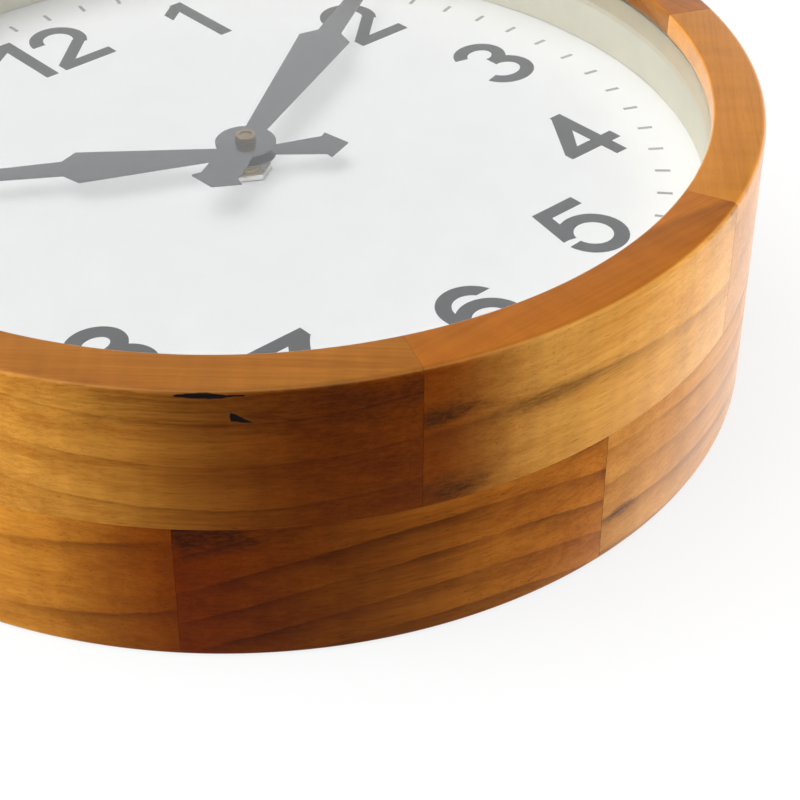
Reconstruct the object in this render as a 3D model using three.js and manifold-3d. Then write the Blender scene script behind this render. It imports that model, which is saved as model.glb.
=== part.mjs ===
// Round wall clock in a ring of glued wooden blocks, with a battery movement behind the dial.
// Millimetres. The clock lies on its back: +Z comes out of the dial, +Y points to twelve, +X to three,
// and the origin is the centre of the back plane.
import * as THREE from 'three';
import { mergeVertices } from 'three/addons/utils/BufferGeometryUtils.js';
import Module from 'manifold-3d';

const wasm = await Module();
wasm.setup();

// Ring case
const CASE_RADIUS = 125;
const CASE_DEPTH = 70;
const FRONT_LAYER = 35; // front blocks, from the rim down to the glue seam
const BLOCKS_PER_LAYER = 8;
const FRONT_FIRST_JOINT = -112.3; // degrees, anticlockwise from three o'clock
const FRONT_FIRST_SPAN = 43.8; // the other blocks of the layer share the rest evenly
const BACK_FIRST_JOINT = -136.1;
const BACK_FIRST_SPAN = 45.3;
const RIM_WIDTH = 12.5;
const LIP_THICKNESS = 6; // wood in front of the glass
const WALL = 8.5; // wood beside and behind the glass
const FRONT_ROUND = 2;
const LIP_ROUND = 0.6;
const BACK_CHAMFER = 1;

// Clearances
const GLUE_GAP = 0.1; // between glued blocks
const SEAT_GAP = 0.1; // between faces that rest on each other
const FIT_GAP = 0.3; // round pieces that drop into a bore or turn in one
const PRESS_GAP = 0.2; // round pieces that are pushed onto each other

// Glass, spacer, dial and board, from front to back
const GLASS_THICKNESS = 2;
const SPACER_HEIGHT = 17.5;
const SPACER_WALL = 3.1;
const DIAL_THICKNESS = 0.6;
const BOARD_THICKNESS = 5;

// Retainer clips and their screws
const CLIP_COUNT = 4;
const CLIP_WIDTH = 12;
const CLIP_SHEET = 1.2;
const CLIP_FOOT = 12;
const CLIP_LEG = 14;
const CLIP_HOLE_DROP = 9; // from the top of the foot down to the screw
const CLIP_SCREW_RADIUS = 1.7;
const CLIP_SCREW_BITE = 6; // length of shank in the wood
const CLIP_HEAD_RADIUS = 3.4;
const CLIP_HEAD_HEIGHT = 1.8;

// Hanger at twelve o'clock
const HANGER_BLOCK_WIDTH = 56;
const HANGER_BLOCK_REACH = 24; // from the case wall towards the centre
const HANGER_BLOCK_DEPTH = 12;
const HANGER_RECESS = 4; // back plane to the block
const HANGER_PLATE_WIDTH = 44;
const HANGER_PLATE_HEIGHT = 18;
const HANGER_CORNER = 4.5;
const HANGER_SHEET = 1.4;
const HANGER_INSET = 12.5; // case wall to the middle of the plate
const KEYHOLE_RADIUS = 4;
const KEYHOLE_SLOT = 2; // half its width
const KEYHOLE_TRAVEL = 6;
const POCKET_MARGIN = 1.5; // room for the nail's head behind the keyhole
const HANGER_SCREW_SPACING = 32;
const HANGER_SCREW_RADIUS = 1.6;
const HANGER_SCREW_LENGTH = 10;
const HANGER_HEAD_RADIUS = 3.1;
const HANGER_HEAD_HEIGHT = 1.2; // countersunk

// Hands
const HOUR_REST = 301.5; // degrees clockwise from twelve
const MINUTE_REST = 60;
const HAND_SHEET = 0.5;
const HUB_RADIUS = 7.5;
const HOUR_HAND = { // distance from the axis and half width of each corner of the outline
  neck: 2.7, shoulder: [41.4, 7.1], waist: [45, 3.2], blade: [60, 2.6], tip: 71,
  tailNeck: 2.15, tailNotch: [19.5, 4.2], tailBarb: [20.5, 5.9], tailTip: 25.5,
};
const MINUTE_HAND = {
  neck: 2.7, shoulder: [58, 7.1], waist: [62, 3.2], blade: [84, 2.4], tip: 98,
  tailNeck: 4.4, tailNotch: [17.2, 4.7], tailBarb: [19, 6.4], tailTip: 22.4,
};

// Centre stack, above the dial
const STEM_RISE = 2;
const STEM_RADIUS = 3.4;
const STEM_BORE = 2.75;
const STEM_FLANGE_RADIUS = 5;
const STEM_FLANGE = 0.5;
const PIPE_RADIUS = 2.45;
const PIPE_BORE = 1.7;
const PIPE_PROUD = 0.2; // hour pipe above its hand
const ARBOR_RADIUS = 1.3;
const ARBOR_SUNK = 0.3; // minute arbor below the top of its bush
const COLLET_WALL = 0.7;
const COLLET_HEIGHT = 2.5;
const BUSH_RADIUS = 2.5;
const BUSH_FLANGE_RADIUS = 3.4;
const BUSH_FLANGE = 1.65;
const BUSH_RISE = 2; // bush above the minute hand
const RUNNING_GAP = 0.5; // along the axis, between pieces that turn apart
const NUT_FLATS = 11;
const NUT_THICKNESS = 1.4;
const WASHER_RADIUS = 9;
const WASHER_THICKNESS = 1;

// Movement housing
const MOVEMENT_SIDE = 56;
const MOVEMENT_DEPTH = 17.6;
const MOVEMENT_CORNER = 3;
const MOVEMENT_WALL = 1.2;
const MOVEMENT_PLATE = 1.5;
const COVER_THICKNESS = 1.4;
const BAY_WALL_Y = -9.2; // wheel side of the wall beside the battery
const POST_RADIUS = 0.5;
const PIVOT_RADIUS = 0.5;
const PIVOT_INSET = 0.4; // arbor ends inside the outer faces of case and cover

// Going train and motion work
const TRAIN_MODULE = 0.3;
const CENTRE_MODULE = 0.36;
const MOTION_MODULE = 0.4;
const PINION_TEETH = 6;
const TEETH = {
  centre: 45, third: 48, fourth: 36, fifth: 30, // 1800 turns of the rotor to one of the centre wheel
  cannon: 10, motion: 30, motionPinion: 8, hour: 32, // 12 turns of the minute hand to one of the hour hand
};
const THIRD_BEARING = 180; // degrees, direction from each wheel to the next
const FOURTH_BEARING = 75;
const FIFTH_BEARING = 20;
const ROTOR_BEARING = 60;
const MOTION_BEARING = 20;
const KNOB_BEARING = 45;
const WHEEL_THICKNESS = 0.8;
const MOTION_THICKNESS = 1;
const PINION_OVERHANG = 0.4; // pinion beyond the wheel that it drives
const LEVEL_GAP = 0.6; // along the axis, between wheels one above the other

// Tooth form, in modules and in shares of the pitch
const ADDENDUM = 0.8;
const DEDENDUM = 1.15;
const TOOTH_TIP = 0.18;
const TOOTH_ROOT = 0.54;

// Setting knob
const KNOB_RADIUS = 6.5;
const KNOB_HEIGHT = 3;
const KNOB_FLUTES = 24;
const KNOB_FLUTE_DEPTH = 0.5;
const KNOB_ARBOR = 1.2;

// Step motor and circuit
const MAGNET_RADIUS = 2.2;
const MAGNET_HEIGHT = 2;
const STATOR_HOLE = 2.9;
const STATOR_SHEET = 0.8;
const STATOR_LEFT = -12;
const STATOR_RIGHT = 15;
const STATOR_LEG = 5;
const STATOR_BAR = 7; // width of the bar round the rotor
const COIL_Y = 22.5;
const COIL_LENGTH = 16;
const COIL_TUBE = 2.7;
const COIL_BORE = 2.3;
const COIL_WINDING = 3.6;
const COIL_FLANGE = 3.9;
const COIL_FLANGE_WIDTH = 0.8;
const CORE_WIDTH = 4;
const BOARD_CLEARANCE = 2.3; // circuit board beside the knob's arbor
const BOARD_LENGTH = 25;
const BOARD_SHEET = 0.8;
const CRYSTAL_RADIUS = 1;
const CRYSTAL_LENGTH = 6;

// Battery and contacts
const BATTERY_RADIUS = 7.1;
const BATTERY_BODY = 49;
const BATTERY_NUB = 1.4;
const BATTERY_NUB_RADIUS = 2.75;
const CONTACT_SHEET = 0.4;
const CONTACT_WIDTH = 9;
const CONTACT_BOW = 1.2;
const NOTCH_WIDTH = 22; // for the finger that lifts the battery out
const NOTCH_DEPTH = 9.5;
const NOTCH_CORNER = 4;

// Facets
const CASE_STEPS = 10; // along each block
const RING_SIDES = 48;
const ROUND_SIDES = 20;
const SMALL_SIDES = 10;

// Levels along the axis, worked down from the lip and up from the dial
const BORE_RADIUS = CASE_RADIUS - WALL;
const LIP_RADIUS = CASE_RADIUS - RIM_WIDTH;
const INSERT_RADIUS = BORE_RADIUS - FIT_GAP;
const SEAM_HEIGHT = CASE_DEPTH - FRONT_LAYER;
const LIP_UNDERSIDE = CASE_DEPTH - LIP_THICKNESS;
const GLASS_TOP = LIP_UNDERSIDE - SEAT_GAP;
const SPACER_TOP = GLASS_TOP - GLASS_THICKNESS - SEAT_GAP;
const DIAL_TOP = SPACER_TOP - SPACER_HEIGHT - SEAT_GAP;
const BOARD_TOP = DIAL_TOP - DIAL_THICKNESS - SEAT_GAP;
const BOARD_BOTTOM = BOARD_TOP - BOARD_THICKNESS;
const WASHER_TOP = BOARD_BOTTOM - SEAT_GAP;
const MOVEMENT_FRONT = WASHER_TOP - WASHER_THICKNESS - SEAT_GAP;
const MOVEMENT_BACK = MOVEMENT_FRONT - MOVEMENT_DEPTH;
const PLATE_INSIDE = MOVEMENT_FRONT - MOVEMENT_PLATE;
const COVER_INSIDE = MOVEMENT_BACK + COVER_THICKNESS;

const STEM_TOP = DIAL_TOP + STEM_RISE;
const COLLET_BOTTOM = STEM_TOP + FIT_GAP;
const HOUR_HAND_BOTTOM = COLLET_BOTTOM + COLLET_HEIGHT + SEAT_GAP;
const PIPE_TOP = HOUR_HAND_BOTTOM + HAND_SHEET + PIPE_PROUD;
const BUSH_BOTTOM = PIPE_TOP + RUNNING_GAP;
const MINUTE_HAND_BOTTOM = BUSH_BOTTOM + BUSH_FLANGE + SEAT_GAP;
const BUSH_TOP = MINUTE_HAND_BOTTOM + HAND_SHEET + BUSH_RISE;

const STEM_BOTTOM = PLATE_INSIDE - SEAT_GAP - STEM_FLANGE;
const HOUR_WHEEL_TOP = STEM_BOTTOM - RUNNING_GAP;
const HOUR_WHEEL_BOTTOM = HOUR_WHEEL_TOP - MOTION_THICKNESS;
const MOTION_TOP = HOUR_WHEEL_BOTTOM - LEVEL_GAP;
const MOTION_BOTTOM = MOTION_TOP - MOTION_THICKNESS;
const CANNON_TOP = MOTION_TOP + LEVEL_GAP / 3;
const CANNON_BOTTOM = MOTION_BOTTOM - LEVEL_GAP / 3;
const CENTRE_TOP = CANNON_BOTTOM - LEVEL_GAP;
const CENTRE_BOTTOM = CENTRE_TOP - WHEEL_THICKNESS;
const THIRD_TOP = CENTRE_BOTTOM - LEVEL_GAP;
const FOURTH_TOP = THIRD_TOP - WHEEL_THICKNESS - LEVEL_GAP;
const FIFTH_TOP = FOURTH_TOP - WHEEL_THICKNESS - LEVEL_GAP;
const ROTOR_PINION_BOTTOM = FIFTH_TOP - WHEEL_THICKNESS - PINION_OVERHANG;
const MAGNET_BOTTOM = ROTOR_PINION_BOTTOM - MAGNET_HEIGHT;
const STATOR_BOTTOM = MAGNET_BOTTOM + (MAGNET_HEIGHT - STATOR_SHEET) / 2;
const CORE_BOTTOM = STATOR_BOTTOM + STATOR_SHEET + SEAT_GAP;
const PIVOT_LOW = MOVEMENT_BACK + PIVOT_INSET;
const PIVOT_HIGH = MOVEMENT_FRONT - PIVOT_INSET;

const FINISHES = {
  wood: { color: 0xa8672c, roughness: 0.45, metalness: 0 },
  glass: { color: 0xf4f8f8, roughness: 0.03, metalness: 0, transparent: true, opacity: 0.25 },
  cream: { color: 0xf1e6cf, roughness: 0.7, metalness: 0 },
  dial: { color: 0xf7f7f5, roughness: 0.55, metalness: 0 },
  board: { color: 0x9a7650, roughness: 0.85, metalness: 0 },
  hands: { color: 0x3a3c3e, roughness: 0.4, metalness: 0.6 },
  brass: { color: 0xc79a45, roughness: 0.3, metalness: 1 },
  nickel: { color: 0xcfcfcb, roughness: 0.3, metalness: 1 },
  steel: { color: 0xa9abad, roughness: 0.4, metalness: 1 },
  rubber: { color: 0x1c1c1c, roughness: 0.9, metalness: 0 },
  housing: { color: 0x1e1f21, roughness: 0.55, metalness: 0 },
  gear: { color: 0xe9e6dc, roughness: 0.5, metalness: 0 },
  magnet: { color: 0x5c5e60, roughness: 0.5, metalness: 0.8 },
  copper: { color: 0xb4693b, roughness: 0.4, metalness: 1 },
  circuit: { color: 0x2f5d3a, roughness: 0.6, metalness: 0 },
  battery: { color: 0x2a2c30, roughness: 0.35, metalness: 0.3 },
};

const clock = new THREE.Group();
clock.name = 'wall_clock';

function add(name, geometry, finish) {
  const mesh = new THREE.Mesh(geometry, new THREE.MeshStandardMaterial(FINISHES[finish]));
  mesh.name = name;
  clock.add(mesh);
  return mesh;
}

const degrees = THREE.MathUtils.degToRad;
const polar = (radius, angle) => new THREE.Vector2(radius * Math.cos(angle), radius * Math.sin(angle));

// A closed mesh with shared corners, without the slivers that a revolve leaves on its axis.
function closed(geometry) {
  const bare = new THREE.BufferGeometry();
  bare.setAttribute('position', geometry.getAttribute('position').clone());
  bare.setIndex(geometry.index ? geometry.index.clone() : null);
  const merged = mergeVertices(bare, 1e-4);
  const index = merged.index.array;
  const kept = [];
  for (let i = 0; i < index.length; i += 3) {
    const [a, b, c] = [index[i], index[i + 1], index[i + 2]];
    if (a !== b && b !== c && c !== a) kept.push(a, b, c);
  }
  merged.setIndex(kept);
  return merged;
}

function toSolid(geometry) {
  const mesh = closed(geometry);
  return new wasm.Manifold(new wasm.Mesh({
    numProp: 3,
    vertProperties: Float32Array.from(mesh.getAttribute('position').array),
    triVerts: Uint32Array.from(mesh.index.array),
  }));
}

function toGeometry(solid) {
  const { vertProperties, triVerts } = solid.getMesh();
  const geometry = new THREE.BufferGeometry();
  geometry.setAttribute('position', new THREE.BufferAttribute(vertProperties, 3));
  geometry.setIndex(new THREE.BufferAttribute(triVerts, 1));
  return geometry;
}

const join = (...pieces) => toGeometry(pieces.map(toSolid).reduce((whole, piece) => whole.add(piece)));
function cut(body, ...tools) {
  return toGeometry(tools.reduce((rest, tool) => rest.subtract(toSolid(tool)), toSolid(body)));
}

// A profile of (radius, height) points turned once round the Z axis.
function revolve(profile, sides) {
  const geometry = new THREE.LatheGeometry(profile.map(([r, z]) => new THREE.Vector2(r, z)), sides);
  return closed(geometry.rotateX(Math.PI / 2));
}

// A ring with a rectangular section.
function ring(outer, inner, bottom, top, sides) {
  return revolve([[inner, bottom], [outer, bottom], [outer, top], [inner, top], [inner, bottom]], sides);
}

// A round bar or disc along Z.
function rod(radius, bottom, top, sides = SMALL_SIDES) {
  const geometry = new THREE.CylinderGeometry(radius, radius, top - bottom, sides);
  return closed(geometry.rotateX(Math.PI / 2).translate(0, 0, (bottom + top) / 2));
}

// A flat shape with its holes, between two levels.
function plate(shape, bottom, top, curveSegments = SMALL_SIDES / 2) {
  const options = { depth: top - bottom, bevelEnabled: false, curveSegments };
  return closed(new THREE.ExtrudeGeometry(shape, options).translate(0, 0, bottom));
}

function circle(center, radius) {
  return new THREE.Path().absarc(center.x, center.y, radius, 0, 2 * Math.PI, true);
}

function roundedRectangle(left, bottom, right, top, radius) {
  return new THREE.Shape()
    .absarc(right - radius, bottom + radius, radius, -Math.PI / 2, 0)
    .absarc(right - radius, top - radius, radius, 0, Math.PI / 2)
    .absarc(left + radius, top - radius, radius, Math.PI / 2, Math.PI)
    .absarc(left + radius, bottom + radius, radius, Math.PI, 1.5 * Math.PI);
}

function rectangle(left, bottom, right, top) {
  return new THREE.Shape().setFromPoints([
    new THREE.Vector2(left, bottom), new THREE.Vector2(right, bottom),
    new THREE.Vector2(right, top), new THREE.Vector2(left, top),
  ]);
}

// A (radius, height) profile carried round part of the ring, with both ends closed.
function sweepBlock(profile, start, end) {
  const rings = [];
  for (let step = 0; step <= CASE_STEPS; step++) {
    const angle = THREE.MathUtils.lerp(start, end, step / CASE_STEPS);
    for (const { x: radius, y: height } of profile) {
      const { x, y } = polar(radius, angle);
      rings.push(x, y, height);
    }
  }
  const count = profile.length;
  const last = CASE_STEPS * count;
  const faces = [];
  for (let step = 0; step < CASE_STEPS; step++) {
    for (let i = 0; i < count; i++) {
      const a = step * count + i;
      const b = step * count + (i + 1) % count;
      faces.push(a, b + count, b, a, a + count, b + count);
    }
  }
  for (const [a, b, c] of THREE.ShapeUtils.triangulateShape(profile, [])) {
    faces.push(a, b, c, last + a, last + c, last + b);
  }
  const geometry = new THREE.BufferGeometry();
  geometry.setAttribute('position', new THREE.Float32BufferAttribute(rings, 3));
  geometry.setIndex(faces);
  return geometry;
}

// The angles where the blocks of a layer meet: the first span is as given, the rest are even.
function jointAngles(first, span) {
  const rest = (360 - span) / (BLOCKS_PER_LAYER - 1);
  const later = (i) => first + span + (i - 1) * rest;
  return Array.from({ length: BLOCKS_PER_LAYER }, (_, i) => degrees(i ? later(i) : first));
}

const frontJoints = jointAngles(FRONT_FIRST_JOINT, FRONT_FIRST_SPAN);
const backJoints = jointAngles(BACK_FIRST_JOINT, BACK_FIRST_SPAN);
const blockEnd = (joints, i) => (i + 1 < joints.length ? joints[i + 1] : joints[0] + 2 * Math.PI);
const HALF_GLUE_ANGLE = GLUE_GAP / 2 / CASE_RADIUS;

const frontProfile = new THREE.Path()
  .moveTo(BORE_RADIUS, SEAM_HEIGHT + GLUE_GAP / 2)
  .lineTo(CASE_RADIUS, SEAM_HEIGHT + GLUE_GAP / 2)
  .absarc(CASE_RADIUS - FRONT_ROUND, CASE_DEPTH - FRONT_ROUND, FRONT_ROUND, 0, Math.PI / 2)
  .lineTo(LIP_RADIUS + LIP_ROUND, CASE_DEPTH)
  .lineTo(LIP_RADIUS, CASE_DEPTH - LIP_ROUND)
  .lineTo(LIP_RADIUS, LIP_UNDERSIDE)
  .lineTo(BORE_RADIUS, LIP_UNDERSIDE)
  .getPoints(2);

const backProfile = new THREE.Path()
  .moveTo(BORE_RADIUS, 0)
  .lineTo(CASE_RADIUS - BACK_CHAMFER, 0)
  .lineTo(CASE_RADIUS, BACK_CHAMFER)
  .lineTo(CASE_RADIUS, SEAM_HEIGHT - GLUE_GAP / 2)
  .lineTo(BORE_RADIUS, SEAM_HEIGHT - GLUE_GAP / 2)
  .getPoints(1);

// Clips sit at the middle of every other back block.
const CLIP_TOP = BOARD_BOTTOM - SEAT_GAP;
const CLIP_SCREW_LEVEL = CLIP_TOP - CLIP_HOLE_DROP;
const CLIP_OUTSIDE = Math.sqrt(INSERT_RADIUS ** 2 - (CLIP_WIDTH / 2) ** 2);
const CLIP_INSIDE = CLIP_OUTSIDE - CLIP_SHEET;
const CLIP_SCREW_TIP = BORE_RADIUS + CLIP_SCREW_BITE;
const clipSpacing = BLOCKS_PER_LAYER / CLIP_COUNT;
const clipAngles = Array.from({ length: CLIP_COUNT }, (_, i) => {
  const block = i * clipSpacing;
  return (backJoints[block] + blockEnd(backJoints, block)) / 2;
});

// A round bar that points outwards along a radius of the case.
function radialRod(radius, from, to) {
  return rod(radius, from, to).rotateY(Math.PI / 2).translate(0, 0, CLIP_SCREW_LEVEL);
}

function buildCase() {
  frontJoints.forEach((joint, i) => {
    const end = blockEnd(frontJoints, i) - HALF_GLUE_ANGLE;
    add(`front_block_${i + 1}`, sweepBlock(frontProfile, joint + HALF_GLUE_ANGLE, end), 'wood');
  });
  backJoints.forEach((joint, i) => {
    const end = blockEnd(backJoints, i) - HALF_GLUE_ANGLE;
    let block = sweepBlock(backProfile, joint + HALF_GLUE_ANGLE, end);
    if (i % clipSpacing === 0) {
      const hole = radialRod(CLIP_SCREW_RADIUS + FIT_GAP, CLIP_INSIDE, CLIP_SCREW_TIP + FIT_GAP);
      block = cut(block, hole.rotateZ(clipAngles[i / clipSpacing]));
    }
    add(`back_block_${i + 1}`, block, 'wood');
  });
}

function buildFace() {
  add('glass', rod(INSERT_RADIUS, GLASS_TOP - GLASS_THICKNESS, GLASS_TOP, RING_SIDES), 'glass');
  const spacerInside = INSERT_RADIUS - SPACER_WALL;
  const spacer = ring(INSERT_RADIUS, spacerInside, SPACER_TOP - SPACER_HEIGHT, SPACER_TOP, RING_SIDES);
  add('spacer_ring', spacer, 'cream');
  const hole = STEM_RADIUS + FIT_GAP;
  add('dial_plate', ring(INSERT_RADIUS, hole, DIAL_TOP - DIAL_THICKNESS, DIAL_TOP, RING_SIDES), 'dial');
  add('backing_board', ring(INSERT_RADIUS, hole, BOARD_BOTTOM, BOARD_TOP, RING_SIDES), 'board');
}

// An angle clip under the edge of the board, held to the case wall by one screw.
function buildClips() {
  const profile = new THREE.Shape().setFromPoints([
    [CLIP_OUTSIDE, CLIP_TOP - CLIP_LEG], [CLIP_OUTSIDE, CLIP_TOP], [CLIP_OUTSIDE - CLIP_FOOT, CLIP_TOP],
    [CLIP_OUTSIDE - CLIP_FOOT, CLIP_TOP - CLIP_SHEET], [CLIP_INSIDE, CLIP_TOP - CLIP_SHEET],
    [CLIP_INSIDE, CLIP_TOP - CLIP_LEG],
  ].map(([r, z]) => new THREE.Vector2(r, z)));
  const headSeat = CLIP_INSIDE - SEAT_GAP;
  clipAngles.forEach((angle, i) => {
    const angleStrip = plate(profile, -CLIP_WIDTH / 2, CLIP_WIDTH / 2).rotateX(Math.PI / 2);
    const hole = radialRod(CLIP_SCREW_RADIUS + FIT_GAP, CLIP_INSIDE - CLIP_SHEET, BORE_RADIUS);
    add(`retainer_clip_${i + 1}`, cut(angleStrip, hole), 'steel').rotation.z = angle;
    const shank = radialRod(CLIP_SCREW_RADIUS, headSeat - CLIP_HEAD_HEIGHT, CLIP_SCREW_TIP);
    const head = radialRod(CLIP_HEAD_RADIUS, headSeat - CLIP_HEAD_HEIGHT, headSeat);
    add(`clip_screw_${i + 1}`, join(head, shank), 'steel').rotation.z = angle;
  });
}

// A wooden block inside the case at twelve, with a keyhole plate let in behind the back plane.
function buildHanger() {
  const outer = BORE_RADIUS - GLUE_GAP;
  const half = HANGER_BLOCK_WIDTH / 2;
  const spread = Math.asin(half / outer);
  const plateY = BORE_RADIUS - HANGER_INSET;
  const entryY = plateY - (KEYHOLE_TRAVEL + KEYHOLE_SLOT - KEYHOLE_RADIUS) / 2;
  const slotY = entryY + KEYHOLE_TRAVEL;
  const screws = [-1, 1].map((side) => new THREE.Vector2(side * HANGER_SCREW_SPACING / 2, plateY));

  const block = new THREE.Shape()
    .moveTo(-half, BORE_RADIUS - HANGER_BLOCK_REACH)
    .lineTo(half, BORE_RADIUS - HANGER_BLOCK_REACH)
    .absarc(0, 0, outer, Math.PI / 2 - spread, Math.PI / 2 + spread);
  const pocket = KEYHOLE_RADIUS + POCKET_MARGIN;
  block.holes.push(rectangle(-pocket, entryY - pocket, pocket, slotY + KEYHOLE_RADIUS));
  screws.forEach((screw) => block.holes.push(circle(screw, HANGER_SCREW_RADIUS + FIT_GAP)));
  add('hanger_block', plate(block, HANGER_RECESS, HANGER_RECESS + HANGER_BLOCK_DEPTH), 'wood');

  const side = HANGER_PLATE_WIDTH / 2;
  const rise = HANGER_PLATE_HEIGHT / 2;
  const strip = roundedRectangle(-side, plateY - rise, side, plateY + rise, HANGER_CORNER);
  const flank = Math.asin(KEYHOLE_SLOT / KEYHOLE_RADIUS);
  strip.holes.push(new THREE.Path()
    .absarc(0, slotY, KEYHOLE_SLOT, 0, Math.PI)
    .absarc(0, entryY, KEYHOLE_RADIUS, Math.PI / 2 + flank, 2.5 * Math.PI - flank));
  const plateTop = HANGER_RECESS - SEAT_GAP;
  const plateBack = plateTop - HANGER_SHEET;
  const headBack = plateBack + SEAT_GAP;
  const neck = headBack + HANGER_HEAD_HEIGHT;
  const countersunk = (back, room) => revolve([
    [0, back], [HANGER_HEAD_RADIUS + room, back], [HANGER_HEAD_RADIUS + room, headBack],
    [HANGER_SCREW_RADIUS + room, neck], [HANGER_SCREW_RADIUS + room, headBack + HANGER_SCREW_LENGTH],
    [0, headBack + HANGER_SCREW_LENGTH],
  ], SMALL_SIDES);
  const holes = screws.map(({ x, y }) => countersunk(plateBack - HANGER_SHEET, FIT_GAP).translate(x, y, 0));
  add('hanger_plate', cut(plate(strip, plateBack, plateTop), ...holes), 'steel');
  screws.forEach(({ x, y }, i) => {
    add(`hanger_screw_${i + 1}`, countersunk(headBack, 0), 'steel').position.set(x, y, 0);
  });
}

// One side of a hand from tail tip to tip, with the hub disc as an arc, then the same side mirrored.
function handShape(hand, hole) {
  const towards = (halfWidth) => Math.asin(halfWidth / HUB_RADIUS);
  const tail = [hand.tailBarb, hand.tailNotch];
  const blade = [hand.shoulder, hand.waist, hand.blade];
  const shape = new THREE.Shape().moveTo(0, -hand.tailTip);
  tail.forEach(([along, half]) => shape.lineTo(half, -along));
  shape.absarc(0, 0, HUB_RADIUS, -Math.PI / 2 + towards(hand.tailNeck), Math.PI / 2 - towards(hand.neck));
  blade.forEach(([along, half]) => shape.lineTo(half, along));
  shape.lineTo(0, hand.tip);
  blade.toReversed().forEach(([along, half]) => shape.lineTo(-half, along));
  shape.absarc(0, 0, HUB_RADIUS, Math.PI / 2 + towards(hand.neck), 1.5 * Math.PI - towards(hand.tailNeck));
  tail.toReversed().forEach(([along, half]) => shape.lineTo(-half, -along));
  shape.holes.push(circle(new THREE.Vector2(), hole));
  return shape;
}

function buildHands() {
  const colletBore = PIPE_RADIUS + PRESS_GAP;
  const hourShape = handShape(HOUR_HAND, colletBore);
  const hour = plate(hourShape, HOUR_HAND_BOTTOM, HOUR_HAND_BOTTOM + HAND_SHEET);
  add('hour_hand', hour, 'hands').rotation.z = -degrees(HOUR_REST);
  const colletTop = COLLET_BOTTOM + COLLET_HEIGHT;
  const collet = ring(colletBore + COLLET_WALL, colletBore, COLLET_BOTTOM, colletTop, ROUND_SIDES);
  add('hour_hand_collet', collet, 'brass');
  const minuteShape = handShape(MINUTE_HAND, BUSH_RADIUS + PRESS_GAP);
  const minute = plate(minuteShape, MINUTE_HAND_BOTTOM, MINUTE_HAND_BOTTOM + HAND_SHEET);
  add('minute_hand', minute, 'hands').rotation.z = -degrees(MINUTE_REST);
  const bushBore = ARBOR_RADIUS + PRESS_GAP;
  const flangeTop = BUSH_BOTTOM + BUSH_FLANGE;
  add('minute_hand_bush', revolve([
    [bushBore, BUSH_BOTTOM], [BUSH_FLANGE_RADIUS, BUSH_BOTTOM], [BUSH_FLANGE_RADIUS, flangeTop],
    [BUSH_RADIUS, flangeTop], [BUSH_RADIUS, BUSH_TOP], [bushBore, BUSH_TOP], [bushBore, BUSH_BOTTOM],
  ], ROUND_SIDES), 'brass');
}

function buildStem() {
  const flangeTop = STEM_BOTTOM + STEM_FLANGE;
  add('threaded_stem', revolve([
    [STEM_BORE, STEM_BOTTOM], [STEM_FLANGE_RADIUS, STEM_BOTTOM], [STEM_FLANGE_RADIUS, flangeTop],
    [STEM_RADIUS, flangeTop], [STEM_RADIUS, STEM_TOP], [STEM_BORE, STEM_TOP], [STEM_BORE, STEM_BOTTOM],
  ], ROUND_SIDES), 'brass');
  const corner = NUT_FLATS / Math.sqrt(3);
  const corners = Array.from({ length: 6 }, (_, i) => polar(corner, (i + 0.5) * Math.PI / 3));
  const hexagon = new THREE.Shape(corners);
  hexagon.holes.push(circle(new THREE.Vector2(), STEM_RADIUS + FIT_GAP));
  const nutBottom = DIAL_TOP + SEAT_GAP;
  add('stem_nut', plate(hexagon, nutBottom, nutBottom + NUT_THICKNESS), 'nickel');
  add('rubber_washer', ring(WASHER_RADIUS, STEM_RADIUS + FIT_GAP, WASHER_TOP - WASHER_THICKNESS, WASHER_TOP,
    ROUND_SIDES), 'rubber');
}

// Pitch radius of a wheel, and where the next wheel's axis lies when the two mesh.
const pitchRadius = (teeth, module) => teeth * module / 2;
function meshedAxis(axis, teeth, partnerTeeth, module, bearing) {
  const step = polar(pitchRadius(teeth + partnerTeeth, module), degrees(bearing));
  return new THREE.Vector2(axis.x + step.x, axis.y + step.y);
}

// How far to turn a wheel so that one of its teeth fills the gap of a wheel that is already turned.
function meshedTurn(turn, teeth, partnerTeeth, bearing) {
  const direction = degrees(bearing);
  return direction + Math.PI - (turn - direction) * teeth / partnerTeeth + Math.PI / partnerTeeth;
}

const CENTRE_AXIS = new THREE.Vector2();
const THIRD_AXIS = meshedAxis(CENTRE_AXIS, TEETH.centre, PINION_TEETH, CENTRE_MODULE, THIRD_BEARING);
const FOURTH_AXIS = meshedAxis(THIRD_AXIS, TEETH.third, PINION_TEETH, TRAIN_MODULE, FOURTH_BEARING);
const FIFTH_AXIS = meshedAxis(FOURTH_AXIS, TEETH.fourth, PINION_TEETH, TRAIN_MODULE, FIFTH_BEARING);
const ROTOR_AXIS = meshedAxis(FIFTH_AXIS, TEETH.fifth, PINION_TEETH, TRAIN_MODULE, ROTOR_BEARING);
const MOTION_AXIS = meshedAxis(CENTRE_AXIS, TEETH.cannon, TEETH.motion, MOTION_MODULE, MOTION_BEARING);
const KNOB_AXIS = meshedAxis(MOTION_AXIS, TEETH.motion, TEETH.cannon, MOTION_MODULE, KNOB_BEARING);
const PIVOTED_AXES = [THIRD_AXIS, FOURTH_AXIS, FIFTH_AXIS, ROTOR_AXIS];

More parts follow.
